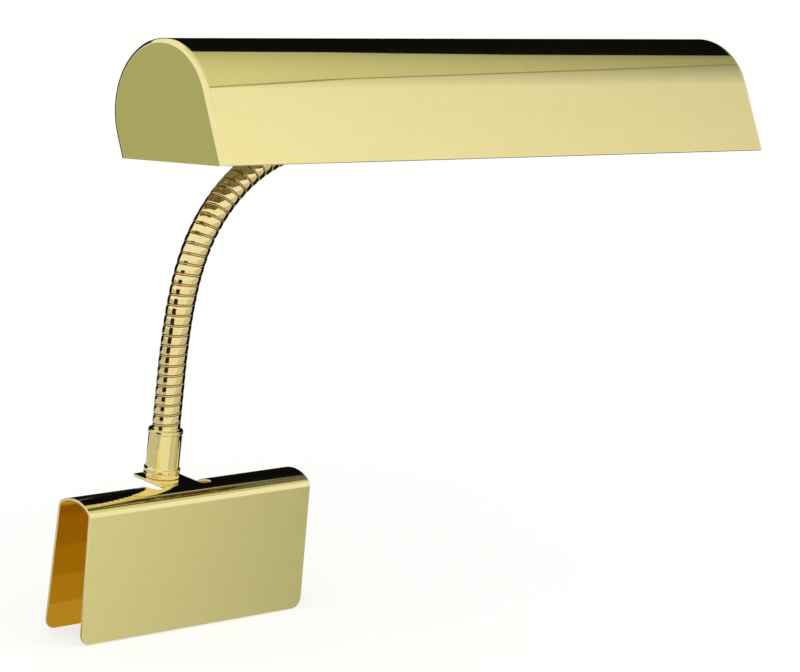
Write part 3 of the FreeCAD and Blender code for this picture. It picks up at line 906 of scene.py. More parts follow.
@dataclass
class Gooseneck:
    """Brass strip coiled with a thin round wire between its turns, on a bent middle line."""

    start: Vector = field(default_factory=lambda: Vector((-3.9, 14.2, 23.2)))
    yaw: float = -0.34
    radius: float = 6.35
    bore: float = 3.9
    pitch: float = 4.55
    band: float = 3.3
    groove: float = 0.55
    groove_shade: float = 0.25
    groove_bottom: tuple[float, float] = (0.52, 0.62)
    crown: float = 0.13
    crown_steps: int = 4
    band_lip: float = 0.1
    band_edge: float = 0.85
    wire_sink: float = 0.05
    wire_round: float = 0.06
    wire_half: float = 0.25
    seat: float = 9.5
    turns: tuple[int, ...] = (2, 4, 4, 4, 4, 4, 4, 4, 4, 2)
    turning: tuple[float, ...] = (0.0, 0.0, 3.4, 5.2, 10.6, 15.2, 14.8, 15.4, 15.6, 11.26)
    steps: int = 56
    rows_per_turn: int = 2

    def frames(self) -> list[Matrix]:
        """Near end of every link, then the far end of the neck."""
        made = [shift(*self.start) @ turn(self.yaw, "Z")]
        for turns, turning in zip(self.turns, self.turning):
            made.append(made[-1] @ self.arc(turns * self.pitch, turning))
        return made

    def arc(self, length: float, turning: float) -> Matrix:
        """Step along a circular arc that starts along Z and bends towards X.

        Args:
            length: Length of the arc.
            turning: Its turning in degrees.

        Returns:
            Frame of the arc's far end.
        """
        if abs(turning) < 1e-6:
            return shift(z=length)
        angle = math.radians(turning)
        radius = length / angle
        aside, ahead = radius * (1 - math.cos(angle)), radius * math.sin(angle)
        return shift(aside, 0.0, ahead) @ turn(turning, "Y")

    def ends(self) -> list[float]:
        """Distance along the neck of every link's near end, then of the far end."""
        made = [0.0]
        for turns in self.turns:
            made.append(made[-1] + turns * self.pitch)
        return made

    def at(self, distance: float, frames: list[Matrix], ends: list[float]) -> Matrix:
        """Frame on the middle line, which runs on straight beyond both ends.

        Args:
            distance: Distance along the middle line.
            frames: Frames of the links' ends.
            ends: Distances of the links' ends.

        Returns:
            The frame there.
        """
        if distance <= 0:
            return frames[0] @ shift(z=distance)
        if distance >= ends[-1]:
            return frames[-1] @ shift(z=distance - ends[-1])
        link = next(i for i in range(len(self.turns)) if distance < ends[i + 1])
        length = ends[link + 1] - ends[link]
        into = distance - ends[link]
        return frames[link] @ self.arc(into, self.turning[link] * into / length)

    def profile(self) -> list[Corner]:
        """One pitch of the coil's outside, from the middle of a wire to the middle of the next."""
        core = self.radius - self.groove
        edge = (self.pitch - self.band) / 2
        crest = self.radius - self.wire_sink
        lip = self.radius - self.crown - self.band_lip
        half = [Corner(crest, 0.0), Corner(crest - self.wire_round, edge * self.wire_half)]
        half += [Corner(core, edge * share) for share in self.groove_bottom]
        half.append(Corner(lip, edge * self.band_edge))
        for step in range(self.crown_steps + 1):
            share = step / self.crown_steps
            crown = self.radius - self.crown * (1 - share) ** 2
            half.append(Corner(crown, edge + share * self.band / 2))
        return half + [Corner(c.across, self.pitch - c.along) for c in reversed(half[:-1])]

    def coil(self, low: float, high: float) -> bmesh.types.BMesh:
        """Wind the straight coil between two distances and close it round its bore.

        Args:
            low: Distance of the near end.
            high: Distance of the far end.

        Returns:
            A closed length of coil along Z.
        """
        bm = bmesh.new()
        add_chain(bm, self.profile(), False)
        rise = Vector((0.0, 0.0, self.pitch / self.steps))
        bmesh.ops.spin(
            bm,
            geom=bm.verts[:] + bm.edges[:],
            cent=(0, 0, 0),
            axis=(0, 0, 1),
            dvec=rise,
            angle=2 * math.pi,
            steps=self.steps,
            use_merge=False,
            use_duplicate=False,
        )
        one_turn = bm.verts[:] + bm.edges[:] + bm.faces[:]
        first, last = math.floor(low / self.pitch) - 2, math.ceil(high / self.pitch)
        for number in range(first + 1, last + 1):
            copy = bmesh.ops.duplicate(bm, geom=one_turn)
            verts = [item for item in copy["geom"] if isinstance(item, bmesh.types.BMVert)]
            bmesh.ops.translate(bm, vec=(0.0, 0.0, number * self.pitch), verts=verts)
        originals = [item for item in one_turn if isinstance(item, bmesh.types.BMVert)]
        bmesh.ops.translate(bm, vec=(0.0, 0.0, first * self.pitch), verts=originals)
        bmesh.ops.remove_doubles(bm, verts=bm.verts[:], dist=MERGE_MM)
        for height, side in ((low, -1.0), (high, 1.0)):
            bmesh.ops.bisect_plane(
                bm,
                geom=bm.verts[:] + bm.edges[:] + bm.faces[:],
                dist=COIL_CUT_MM,
                plane_co=(0.0, 0.0, height),
                plane_no=(0.0, 0.0, side),
                clear_outer=True,
            )
        # Faces deeper than groove_shade take the second finish, whose amber, darker colour is
        # painted shade in the grooves.
        shaded = self.radius - self.groove_shade
        for face in bm.faces:
            middle = face.calc_center_median()
            face.material_index = int(math.hypot(middle.x, middle.y) < shaded)
        self.close(bm, low, high)
        return closed_mesh(bm)

    def close(self, bm: bmesh.types.BMesh, low: float, high: float) -> None:
        """Add the bore and the flat ends.

        Args:
            bm: Outside of the coil.
            low: Distance of the near end.
            high: Distance of the far end.
        """
        open_edges = [edge for edge in bm.edges if edge.is_boundary]
        rims = {
            height: [edge for edge in open_edges if is_level(edge, height)]
            for height in (low, high)
        }
        rows = max(2, round((high - low) / self.pitch * self.rows_per_turn))
        tube = bmesh.ops.create_cone(
            bm,
            cap_ends=False,
            segments=self.steps,
            radius1=self.bore,
            radius2=self.bore,
            depth=high - low,
            matrix=Matrix.Translation((0.0, 0.0, (low + high) / 2)),
        )
        tube_verts = set(tube["verts"])
        for height, rim in rims.items():
            circle = [
                edge
                for edge in bm.edges
                if tube_verts.issuperset(edge.verts) and is_level(edge, height)
            ]
            bmesh.ops.bridge_loops(bm, edges=rim + circle)
        walls = [face for face in bm.faces if tube_verts.issuperset(face.verts)]
        for row in range(1, rows):
            inside = {
                item for face in walls if face.is_valid for item in (face, *face.edges, *face.verts)
            }
            cut = bmesh.ops.bisect_plane(
                bm,
                geom=list(inside),
                dist=COIL_CUT_MM,
                plane_co=(0.0, 0.0, low + (high - low) * row / rows),
                plane_no=(0.0, 0.0, 1.0),
            )
            walls = [item for item in cut["geom"] if isinstance(item, bmesh.types.BMFace)]

    def build(self, paint: Paint) -> list[Piece]:
        """Wind the coil in lengths, each reaching across one hinge.

        Args:
            paint: Gives the material of a finish.

        Returns:
            The lengths of coil, from the clip to the shade.
        """
        finishes = [paint(COILED_BRASS), paint(GROOVE_PAINTED_SHADE_BRASS)]
        frames, ends = self.frames(), self.ends()
        middles = [(low + high) / 2 for low, high in zip(ends, ends[1:])]
        links = ["neck_link_%d" % number for number in range(1, len(self.turns) - 1)]
        bodies = ["clip_base", *links, "neck_end"]
        pieces = []
        for number in range(1, len(bodies)):
            first, last = number == 1, number == len(bodies) - 1
            low = -self.seat if first else middles[number - 1]
            high = ends[-1] + self.seat if last else middles[number]
            bm = self.coil(low, high)
            for vert in bm.verts:
                where = self.at(vert.co.z, frames, ends)
                vert.co = where @ Vector((vert.co.x, vert.co.y, 0.0))
            hinge = ends[number]
            reach = min(hinge, middles[1] - ends[1], ends[-1] - hinge)
            start = self.at(hinge - reach, frames, ends).translation * MM
            end = self.at(hinge + reach, frames, ends).translation * MM
            nodes = tuple("neck_coil_%02d" % (number + i) for i in (0, 1))
            pieces.append(
                Piece("gooseneck_length_%d" % number, bm, Matrix.Identity(4), finishes,
                      Slot.BRASS, bodies[number - 1], nodes, bodies[number], start, end)
            )
        return pieces


# --- shade ----------------------------------------------------------------------------------------


def stands_at(edge: bmesh.types.BMEdge, place: float) -> bool:
    """Whether an edge lies across the shade at a distance along it."""
    return all(abs(vert.co.x - place) < MERGE_MM for vert in edge.verts)


@dataclass
class Shade:
    """Half-round shade: one long folded sheet with a pressed plate in each end."""

    length: float = 355.6
    radius: float = 32.5
    sheet: float = 0.8
    front: float = 34.7
    back: float = 10.9
    hem: float = 4.0
    hem_round: float = 0.55
    hem_fold: float = 0.3
    lid: float = 2.4
    lid_round: float = 2.1
    lid_clear: float = 0.1
    flange: float = 6.0
    flange_clear: float = 1.0
    fit: float = 0.05
    joint_round: float = 0.12
    paint_margin: float = 0.1
    arc_steps: int = 72
    bays: int = 8

    def opening(self, across: float) -> float:
        """Height of the slanted opening at a distance across the shade."""
        middle = -(self.front + self.back) / 2
        return middle + (self.front - self.back) / (2 * self.radius) * across

    def arch(
        self, bm: bmesh.types.BMesh, radius: float
    ) -> tuple[bmesh.types.BMVert, bmesh.types.BMVert]:
        """Add a half circle in the YZ plane.

        Args:
            bm: Mesh that gets the arch.
            radius: Its radius.

        Returns:
            The front end and the back end of the arch.
        """
        first = bm.verts.new((0.0, -radius, 0.0))
        made = bmesh.ops.spin(
            bm,
            geom=[first],
            cent=(0, 0, 0),
            axis=(-1, 0, 0),
            angle=math.pi,
            steps=self.arc_steps,
            use_merge=False,
            use_duplicate=False,
        )
        last = [item for item in made["geom_last"] if isinstance(item, bmesh.types.BMVert)][0]
        return first, last

    def across(self, bm: bmesh.types.BMesh, depth: float) -> None:
        """Fill an outline in the YZ plane and draw it out along the shade.

        Args:
            bm: The outline.
            depth: Length along the shade.
        """
        face = bmesh.ops.contextual_create(bm, geom=bm.edges[:])["faces"]
        drawn_out(bm, face, Vector((depth, 0.0, 0.0)))

    def shell(self) -> bmesh.types.BMesh:
        """Fold the long sheet, with a flat hem along both edges."""
        bm = bmesh.new()
        outer_front, outer_back = self.arch(bm, self.radius)
        inner_front, inner_back = self.arch(bm, self.radius - self.sheet)
        for side, outer, inner in ((-1, outer_front, inner_front), (1, outer_back, inner_back)):
            far = side * self.radius
            near = side * (self.radius - self.sheet)
            hem = side * (self.radius - 2 * self.sheet)
            path = [
                (far, self.opening(far), self.hem_round),
                (hem, self.opening(hem), self.hem_round),
                (hem, self.opening(hem) + self.hem, self.hem_fold),
                (near, self.opening(near) + self.hem, 0.0),
            ]
            verts = [bm.verts.new((0.0, y, z)) for y, z, _ in path]
            chain = [outer, *verts, inner]
            for one, two in zip(chain, chain[1:]):
                bm.edges.new((one, two))
            for vert, (_, _, rounding) in zip(verts, path):
                if rounding > 0:
                    round_corner(bm, vert, rounding, 4)
        length = self.length - 2 * self.lid
        self.across(bm, length)
        self.round_rims(bm, (0.0, length), self.joint_round)
        bmesh.ops.translate(bm, vec=(self.lid, 0.0, 0.0), verts=bm.verts[:])
        for bay in range(1, self.bays):
            sliced(bm, Vector((self.length * bay / self.bays, 0.0, 0.0)), Vector((1.0, 0.0, 0.0)))
        for face in bm.faces:
            painted = self.is_inside(face.calc_center_median()) and abs(face.normal.x) < 0.5
            face.material_index = int(painted)
        return bm

    def is_inside(self, middle: Vector) -> bool:
        """Whether a point lies inside the sheet, clear of the hems."""
        reach = self.radius - self.sheet + self.paint_margin
        if middle.z > 0:
            return math.hypot(middle.y, middle.z) < reach
        clear = self.opening(middle.y) + self.hem + 2 * self.paint_margin
        return abs(middle.y) < reach and middle.z > clear

    def round_rims(
        self, bm: bmesh.types.BMesh, places: tuple[float, ...], rounding: float, clear: float = -1.0
    ) -> None:
        """Round the rims of a part that stand across the shade.

        Args:
            bm: The part.
            places: X of each rim.
            rounding: Radius of the rounding.
            clear: Height above the opening up to which the rim stays sharp.
        """
        rims = [
            edge
            for edge in bm.edges
            if any(stands_at(edge, place) for place in places)
            and any(vert.co.z > self.opening(vert.co.y) + clear for vert in edge.verts)
        ]
        bevelled(bm, rims, rounding, 4)

    def end_plate(self) -> bmesh.types.BMesh:
        """Press the left end plate: a rounded lid flush with the shell, with a flange inside it."""
        lid = bmesh.new()
        front, back = self.arch(lid, self.radius)
        low_front = lid.verts.new((0.0, -self.radius, self.opening(-self.radius)))
        low_back = lid.verts.new((0.0, self.radius, self.opening(self.radius)))
        for one, two in ((front, low_front), (low_front, low_back), (low_back, back)):
            lid.edges.new((one, two))
        self.across(lid, self.lid)
        self.round_rims(lid, (0.0,), self.lid_round, self.lid_clear)
        self.round_rims(lid, (self.lid,), self.joint_round)
        flange = bmesh.new()
        outer = self.arch(flange, self.radius - self.sheet - self.fit)
        inner = self.arch(flange, self.radius - 2 * self.sheet)
        for side, one, two in ((-1, outer[0], inner[0]), (1, outer[1], inner[1])):
            low = self.opening(side * self.radius) + self.hem + self.flange_clear
            verts = [flange.verts.new((0.0, vert.co.y, low)) for vert in (one, two)]
            for first, second in ((one, verts[0]), verts, (verts[1], two)):
                flange.edges.new((first, second))
        self.across(flange, self.flange)
        bmesh.ops.translate(flange, vec=(self.lid, 0.0, 0.0), verts=flange.verts[:])
        return joined(lid, flange)

    def build(self, paint: Paint, place: Matrix) -> list[Piece]:
        """Make the shell and both end plates.

        Args:
            paint: Gives the material of a finish.
            place: Frame of the shade.

        Returns:
            The shell, the left plate and the right plate.
        """
        brass = paint(LACQUERED_BRASS)
        left = self.end_plate()
        right = left.copy()
        bmesh.ops.transform(right, matrix=Matrix.Scale(-1, 4, (1, 0, 0)), verts=right.verts[:])
        bmesh.ops.recalc_face_normals(right, faces=right.faces[:])
        far = place @ shift(self.length)
        made = (
            ("shade_shell_sheet", self.shell(), place, [brass, paint(WHITE_ENAMEL)], "shade_shell"),
            ("left_end_lid", left, place, [brass], "left_end_plate"),
            ("right_end_lid", right, far, [brass], "right_end_plate"),
        )
        return [
            Piece(name, bm, where, finishes, Slot.BRASS, "shade", (node,))
            for name, bm, where, finishes, node in made
        ]


# --- fittings, socket and bulb --------------------------------------------------------------------


NUT_CORNER = 0.4
NUT_RIM = 0.45


def hexagon_nut(across_flats: float, height: float, bore: float) -> bmesh.types.BMesh:
    """Make a hexagonal nut that stands on Z = 0.

    Args:
        across_flats: Width between two flats.
        height: Height of the nut.
        bore: Radius of its thread.

    Returns:
        The nut.
    """
    bm = bmesh.new()
    reach = across_flats / math.sqrt(3)
    sixths = [math.pi / 3 * i for i in range(6)]
    corners = [Corner(reach * math.cos(a), reach * math.sin(a), NUT_CORNER) for a in sixths]
    add_chain(bm, corners, True, 3)
    circle = bmesh.ops.create_circle(bm, cap_ends=False, segments=32, radius=bore)
    bmesh.ops.rotate(bm, cent=(0, 0, 0), matrix=turn(90, "X").to_3x3(), verts=circle["verts"])
    nut = thickened(bm, height, NUT_RIM)
    nut.transform(turn(90, "X"))
    return closed_mesh(nut)


@dataclass
class NeckFittings:
    """Turned and stamped hardware at both ends of the neck."""

    clip_sheet: float = 1.2
    washer: float = 0.8
    washer_bore: float = 5.0
    washer_radius: float = 6.6
    spigot_edge: float = 0.8
    bushing_bore: float = 2.8
    bushing_radius: float = 3.6
    bushing_drop: float = 1.0
    bushing_top: float = 6.0
    nipple_radius: float = 4.85
    nipple_bore: float = 3.5
    nipple_pitch: float = 1.06
    thread_depth: float = 0.28
    ferrule_height: float = 22.0
    nipple_grip: float = 9.0
    nut_start: float = 25.3
    nut_height: float = 4.0
    nut_flats: float = 14.0
    nipple_tail: float = 1.6

    def nipple(self, low: float, high: float) -> bmesh.types.BMesh:
        """Cut a threaded nipple between two heights."""
        thread = rolled_thread(self.nipple_radius, self.thread_depth, low,
                               high - self.nipple_pitch, self.nipple_pitch, 0.05)
        outline = [
            Corner(self.nipple_bore, low, 0.15),
            *thread,
            Corner(self.nipple_radius - self.thread_depth, high, 0.1),
            Corner(self.nipple_bore, high, 0.15),
        ]
        return turned(outline, 48, 2)

    def build(self, paint: Paint, foot: Matrix, end: Matrix) -> list[Piece]:
        """Make the washer and bushing under the clip, and the nipple and nut in the shade.

        Args:
            paint: Gives the material of a finish.
            foot: Frame of the lower ferrule.
            end: Frame of the neck's far end.

        Returns:
            The four fittings.
        """
        steel, phenolic = paint(ZINC_PLATED_STEEL), paint(BLACK_PHENOLIC)
        low = -self.clip_sheet - self.washer
        lip = low - self.spigot_edge - self.bushing_drop
        washer = turned([
            Corner(self.washer_bore, low, 0.15),
            Corner(self.washer_radius, low, 0.25),
            Corner(self.washer_radius, -self.clip_sheet, 0.1),
            Corner(self.washer_bore, -self.clip_sheet),
        ], 72)
        bushing = turned([
            Corner(self.bushing_bore, lip, 0.35),
            Corner(self.bushing_radius, lip, 0.35),
            Corner(self.bushing_radius, self.bushing_top, 0.2),
            Corner(self.bushing_bore, self.bushing_top, 0.2),
        ], 48)
        nipple = self.nipple(self.ferrule_height - self.nipple_grip,
                             self.nut_start + self.nut_height + self.nipple_tail)
        nut = hexagon_nut(self.nut_flats, self.nut_height, self.nipple_radius)
        return [
            Piece("backing_washer_disc", washer, foot, [steel], Slot.STEEL, "clip_base",
                  ("backing_washer",)),
            Piece("outlet_bushing_sleeve", bushing, foot, [phenolic], Slot.PHENOLIC, "clip_base",
                  ("outlet_bushing",)),
            Piece("swivel_nipple_thread", nipple, end, [steel], Slot.STEEL, "neck_end",
                  ("upper_nipple",)),
            Piece("swivel_nut_hexagon", nut, end @ shift(z=self.nut_start), [steel], Slot.STEEL,
                  "neck_end", ("upper_nut",)),
        ]


@dataclass
class Socket:
    """Lamp socket with its turn key; Z runs along the bulb from the bracket's face."""

    bracket_sheet: float = 1.5
    nut_flats: float = 13.0
    nut_height: float = 3.0
    nipple_tail: float = 1.6
    hub_radius: float = 7.0
    hub_wall: float = 2.0
    hub_height: float = 9.0
    cap_radius: float = 16.9
    cap_height: float = 27.0
    cap_wall: float = 0.6
    cap_groove: float = 2.7
    cap_groove_half: float = 0.5
    cap_groove_depth: float = 0.3
    shell_radius: float = 16.2
    shell_wall: float = 0.5
    shell_start: float = 23.0
    shell_end: float = 64.0
    bead_rises: tuple[float, float] = (3.0, 5.5)
    bead_half: float = 0.7
    bead_out: float = 0.35
    rim: float = 0.8
    rim_out: float = 0.4
    liner_radius: float = 15.6
    liner_wall: float = 0.7
    liner_short: float = 2.0
    block_radius: float = 14.2
    block_start: float = 27.5
    block_end: float = 43.0
    screw_radius: float = 13.7
    screw_wall: float = 0.35
    screw_end: float = 62.0
    screw_clear: float = 1.0
    screw_pitch: float = 3.63
    screw_depth: float = 0.35
    key_height: float = 35.0
    key_lean: float = 35.0
    collar_radius: float = 3.4
    collar_sunk: float = 1.0
    collar_proud: float = 0.8
    stem_radius: float = 1.6
    stem_clear: float = 0.45
    knob_start: float = 19.0
    knob_length: float = 9.5
    knob_width: float = 14.0
    knob_thickness: float = 4.2
    knob_corner: float = 4.0
    knob_round: float = 1.2

    def cap(self) -> bmesh.types.BMesh:
        """Draw the cap with its hub, rounded shoulder and one pressed groove."""
        bore, top = self.hub_radius - self.hub_wall, self.cap_height
        inner, groove = self.cap_radius - self.cap_wall, top - self.cap_groove
        return turned([
            Corner(bore, 0.0, 0.2),
            Corner(self.hub_radius, 0.0, 0.5),
            Corner(self.hub_radius, self.hub_height, 0.8),
            Corner(self.cap_radius, self.hub_height, 5.0),
            Corner(self.cap_radius, groove - self.cap_groove_half, 0.3),
            Corner(self.cap_radius - self.cap_groove_depth, groove, 0.3),
            Corner(self.cap_radius, groove + self.cap_groove_half, 0.3),
            Corner(self.cap_radius, top, 0.2),
            Corner(inner, top, 0.1),
            Corner(inner, self.hub_height + self.cap_wall, 4.4),
            Corner(bore, self.hub_height + self.cap_wall),
        ], 96, 8)

    def shell(self) -> bmesh.types.BMesh:
        """Draw the shell with its two beads and rolled rim."""
        outer, inner, top = self.shell_radius, self.shell_radius - self.shell_wall, self.shell_end
        outline = [Corner(inner, self.shell_start), Corner(outer, self.shell_start, 0.1)]
        for rise in self.bead_rises:
            bead = self.block_end + rise
            outline += [
                Corner(outer, bead - self.bead_half, 0.3),
                Corner(outer + self.bead_out, bead, 0.4),
                Corner(outer, bead + self.bead_half, 0.3),
            ]
        outline += [
            Corner(outer, top - self.rim - self.rim_out, 0.3),
            Corner(outer + self.rim_out, top - self.rim, 0.3),
            Corner(outer + self.rim_out, top, 0.35),
            Corner(inner, top, 0.3),
        ]
        return turned(outline)

    def screw_shell(self) -> bmesh.types.BMesh:
        """Roll the screw shell that takes the bulb."""
        outer = rolled_thread(self.screw_radius, self.screw_depth,
                              self.block_end + self.screw_clear,
                              self.screw_end - self.screw_pitch, self.screw_pitch, 0.8)
        inner = [Corner(c.across - self.screw_wall, c.along, c.rounding) for c in reversed(outer)]
        return turned([
            Corner(self.screw_radius, self.block_end),
            *outer,
            Corner(self.screw_radius, self.screw_end, 0.1),
            Corner(self.screw_radius - self.screw_wall, self.screw_end, 0.1),
            *inner,
            Corner(self.screw_radius - self.screw_wall, self.block_end),
        ])

    def liner(self) -> bmesh.types.BMesh:
        """Roll the insulating sleeve inside the shell."""
        inner, end = self.liner_radius - self.liner_wall, self.shell_end - self.liner_short
        return turned([
            Corner(inner, self.block_end),
            Corner(self.liner_radius, self.block_end),
            Corner(self.liner_radius, end, 0.1),
            Corner(inner, end, 0.1),
        ])

    def block(self) -> bmesh.types.BMesh:
        """Mould the switch block."""
        return turned([
            Corner(0.0, self.block_start),
            Corner(self.block_radius, self.block_start, 0.8),
            Corner(self.block_radius, self.block_end, 0.5),
            Corner(0.0, self.block_end),
        ], closed=False)

    def collar(self) -> bmesh.types.BMesh:
        """Draw the collar where the key's stem leaves the shell."""
        hole = self.stem_radius + self.stem_clear
        low, high = self.shell_radius - self.collar_sunk, self.shell_radius + self.collar_proud
        return turned([
            Corner(hole, low),
            Corner(self.collar_radius, low),
            Corner(self.collar_radius, high, 0.3),
            Corner(hole, high, 0.2),
        ], 40)

    def knob(self) -> bmesh.types.BMesh:
        """Mould the key's flat grip, with its length along Z from the stem."""
        half = self.knob_width / 2
        bm = bmesh.new()
        corners = ((-half, 0.0), (half, 0.0), (half, self.knob_length), (-half, self.knob_length))
        add_chain(bm, [Corner(x, z, self.knob_corner) for x, z in corners], True, 8)
        grip = thickened(bm, self.knob_thickness, self.knob_round)
        grip.transform(shift(y=-self.knob_thickness / 2))
        return closed_mesh(grip)

    def key_place(self, place: Matrix) -> Matrix:
        """Frame of the key: Z outwards along its stem, X across the socket."""
        return place @ shift(z=self.key_height) @ turn(-self.key_lean, "Z") @ turn(90, "Y")

    def build(self, paint: Paint, fittings: NeckFittings, place: Matrix) -> list[Piece]:
        """Make the socket's pieces.

        Args:
            paint: Gives the material of a finish.
            fittings: Gives the nipple's thread.
            place: Frame of the socket.

        Returns:
            The pieces, from the bracket to the bulb.
        """
        brass = paint(SOCKET_BRASS), Slot.SOCKET_BRASS
        steel = paint(ZINC_PLATED_STEEL), Slot.STEEL
        phenolic = paint(BLACK_PHENOLIC), Slot.PHENOLIC
        fibre = paint(VULCANISED_FIBRE), Slot.PAPER
        back = -self.bracket_sheet - self.nut_height
        nut = hexagon_nut(self.nut_flats, self.nut_height, fittings.nipple_radius)
        nipple = fittings.nipple(back - self.nipple_tail, self.hub_height - 1.0)
        key = self.key_place(place)
        at_knob = key @ shift(z=self.knob_start)
        made = (
            ("socket_nut_hexagon", nut, place @ shift(z=back), steel, "shade", ("socket_nut",)),
            ("socket_nipple_thread", nipple, place, steel, "shade", ("socket_nipple",)),
            ("socket_cap_drawn", self.cap(), place, brass, "shade", ("socket_cap",)),
            ("socket_shell_drawn", self.shell(), place, brass, "shade", ("socket_shell",)),
            ("socket_liner_sleeve", self.liner(), place, fibre, "shade", ("socket_liner",)),
            ("screw_shell_rolled", self.screw_shell(), place, brass, "shade", ("screw_shell",)),
            ("switch_block_moulded", self.block(), place, phenolic, "shade", ("switch_block",)),
            ("key_collar", self.collar(), key, brass, "shade", ()),
            ("key_knob_moulded", self.knob(), at_knob, phenolic, "switch_key", ("key_knob",)),
        )
        return [
            Piece(name, bm, where, [finish], slot, body, nodes)
            for name, bm, where, (finish, slot), body, nodes in made
        ]


@dataclass
class TubularBulb:
    """Clear tubular bulb; Z runs from its tip to its rounded end."""

    start: float = 44.8
    length: float = 143.0
    radius: float = 16.0
    neck_radius: float = 12.2
    glass: float = 0.8
    dome_flat: float = 0.2
    neck_start: float = 22.0
    shoulder: float = 43.0
    base_radius: float = 13.05
    base_wall: float = 0.5
    base_plain: float = 6.0
    base_tuck: float = 1.0
    base_start: float = 4.6
    base_end: float = 26.5
    tip_radius: float = 4.6
    tip: float = 1.7
    tip_crown: float = 0.9
    mount_end: float = 66.0
    mount_radius: float = 3.4
    mount_flare: float = 12.0
    mount_pinch: float = 6.0
    pinch_middle: float = 2.5
    coil_radius: float = 0.42
    coil_wire: float = 0.12
    coil_start: float = 72.0
    coil_length: float = 50.0
    coil_turns: int = 90
    turn_steps: int = 12

    def envelope(self) -> bmesh.types.BMesh:
        """Blow the glass: a tube with a rounded end and a narrower neck."""
        bend = (self.neck_start + self.shoulder) / 2
        bm = turned([
            Corner(0.0, self.neck_start),
            Corner(self.neck_radius, self.neck_start, 2.0),
            Corner(self.neck_radius, bend, 8.0),
            Corner(self.radius, self.shoulder, 10.0),
            Corner(self.radius, self.length, self.radius - self.dome_flat),
            Corner(0.0, self.length),
        ], 96, 16, closed=False)
        bmesh.ops.solidify(bm, geom=bm.faces[:], thickness=self.glass)
        return bm

    def base(self, socket: Socket) -> bmesh.types.BMesh:
        """Roll the threaded base so that its thread runs in the socket's.

        Args:
            socket: Gives the thread's pitch, depth and place.

        Returns:
            The base.
        """
        clear = socket.screw_clear
        low = socket.block_end + clear - self.start
        while low < self.base_start + clear:
            low += socket.screw_pitch
        outer = rolled_thread(self.base_radius, socket.screw_depth, low,
                              self.base_end - self.base_plain, socket.screw_pitch, 0.8)
        inner = [Corner(c.across - self.base_wall, c.along, c.rounding) for c in reversed(outer)]
        wide, foot = self.base_radius, self.base_radius - self.base_tuck
        return turned([
            Corner(foot, self.base_start, 0.3),
            *outer,
            Corner(wide, self.base_end, 0.15),
            Corner(wide - self.base_wall, self.base_end, 0.1),
            *inner,
            Corner(foot - self.base_wall, self.base_start, 0.1),
        ])

    def filament(self) -> bmesh.types.BMesh:
        """Wind the filament."""
        bm = bmesh.new()
        circle = bmesh.ops.create_circle(bm, cap_ends=True, segments=6, radius=self.coil_wire)
        bmesh.ops.rotate(bm, cent=(0, 0, 0), matrix=turn(90, "X").to_3x3(), verts=circle["verts"])
        bmesh.ops.translate(bm, vec=(self.coil_radius, 0.0, self.coil_start), verts=bm.verts[:])
        steps = self.turn_steps * self.coil_turns
        bmesh.ops.spin(
            bm,
            geom=bm.faces[:],
            cent=(0, 0, 0),
            axis=(0, 0, 1),
            dvec=(0.0, 0.0, self.coil_length / steps),
            angle=2 * math.pi * self.coil_turns,
            steps=steps,
            use_merge=False,
            use_duplicate=False,
        )
        return closed_mesh(bm)

    def solder_tip(self) -> bmesh.types.BMesh:
        """Drop the solder on the foot of the base."""
        return turned([
            Corner(0.0, 0.0),
            Corner(self.tip_radius - self.tip_crown, 0.1, 0.8),
            Corner(self.tip_radius, self.tip, 0.4),
            Corner(0.0, self.tip),
        ], 48, closed=False)

    def insulator(self) -> bmesh.types.BMesh:
        """Press the dark glass between the base and its tip."""
        wide, top = self.base_radius - 2 * self.base_wall, self.base_start + self.tip
        return turned([
            Corner(0.0, self.tip),
            Corner(self.tip_radius, self.tip, 0.5),
            Corner(wide, self.base_start + 0.3, 0.6),
            Corner(wide, top),
            Corner(0.0, top),
        ], 72, closed=False)

    def stem(self) -> bmesh.types.BMesh:
        """Draw the glass stem, pinched where it holds the wires."""
        low, high, wide = self.neck_start + self.glass, self.mount_end, self.mount_radius
        return turned([
            Corner(0.0, low),
            Corner(wide, low, 0.8),
            Corner(wide * 0.6, low + self.mount_flare, 4.0),
            Corner(wide * 0.6, high - self.mount_pinch, 2.0),
            Corner(wide * 0.9, high - self.pinch_middle, 1.2),
            Corner(wide * 0.7, high, 1.2),
            Corner(0.0, high),
        ], 40, 5, closed=False)

    def build(self, paint: Paint, socket: Socket, place: Matrix) -> list[Piece]:
        """Make the bulb's pieces.

        Args:
            paint: Gives the material of a finish.
            socket: The socket that holds the bulb.
            place: Frame of the socket.

        Returns:
            The pieces, from the glass inwards.
        """
        made = (
            ("bulb_envelope", self.envelope(), CLEAR_GLASS, Slot.GLASS, "bulb_glass"),
            ("bulb_base_rolled", self.base(socket), ROLLED_ALUMINIUM, Slot.ALUMINIUM, "bulb_base"),
            ("bulb_insulator_pressed", self.insulator(), PRESSED_VITRITE, Slot.BLACK_GLASS,
             "bulb_insulator"),
            ("bulb_tip_solder", self.solder_tip(), FROZEN_SOLDER, Slot.SOLDER, "bulb_tip"),
            ("bulb_stem", self.stem(), CLEAR_GLASS, Slot.GLASS, "bulb_mount"),
            ("bulb_filament_coil", self.filament(), DRAWN_WIRE, Slot.WIRE, "bulb_filament"),
        )
        inside = place @ shift(z=self.start)
        return [
            Piece(name, bm, inside, [paint(finish)], slot, "shade", (node,))
            for name, bm, finish, slot, node in made
        ]


# --- studio ---------------------------------------------------------------------------------------


BLACK, DARK, SHADOW = 0.004, 0.01, 0.02
WALL, CEILING, POST = 0.47, 1.2, -1.2
WALL_FOOT, FLOOR_DARK = -0.0625, -0.061
CREAM = "#FCFFD6"


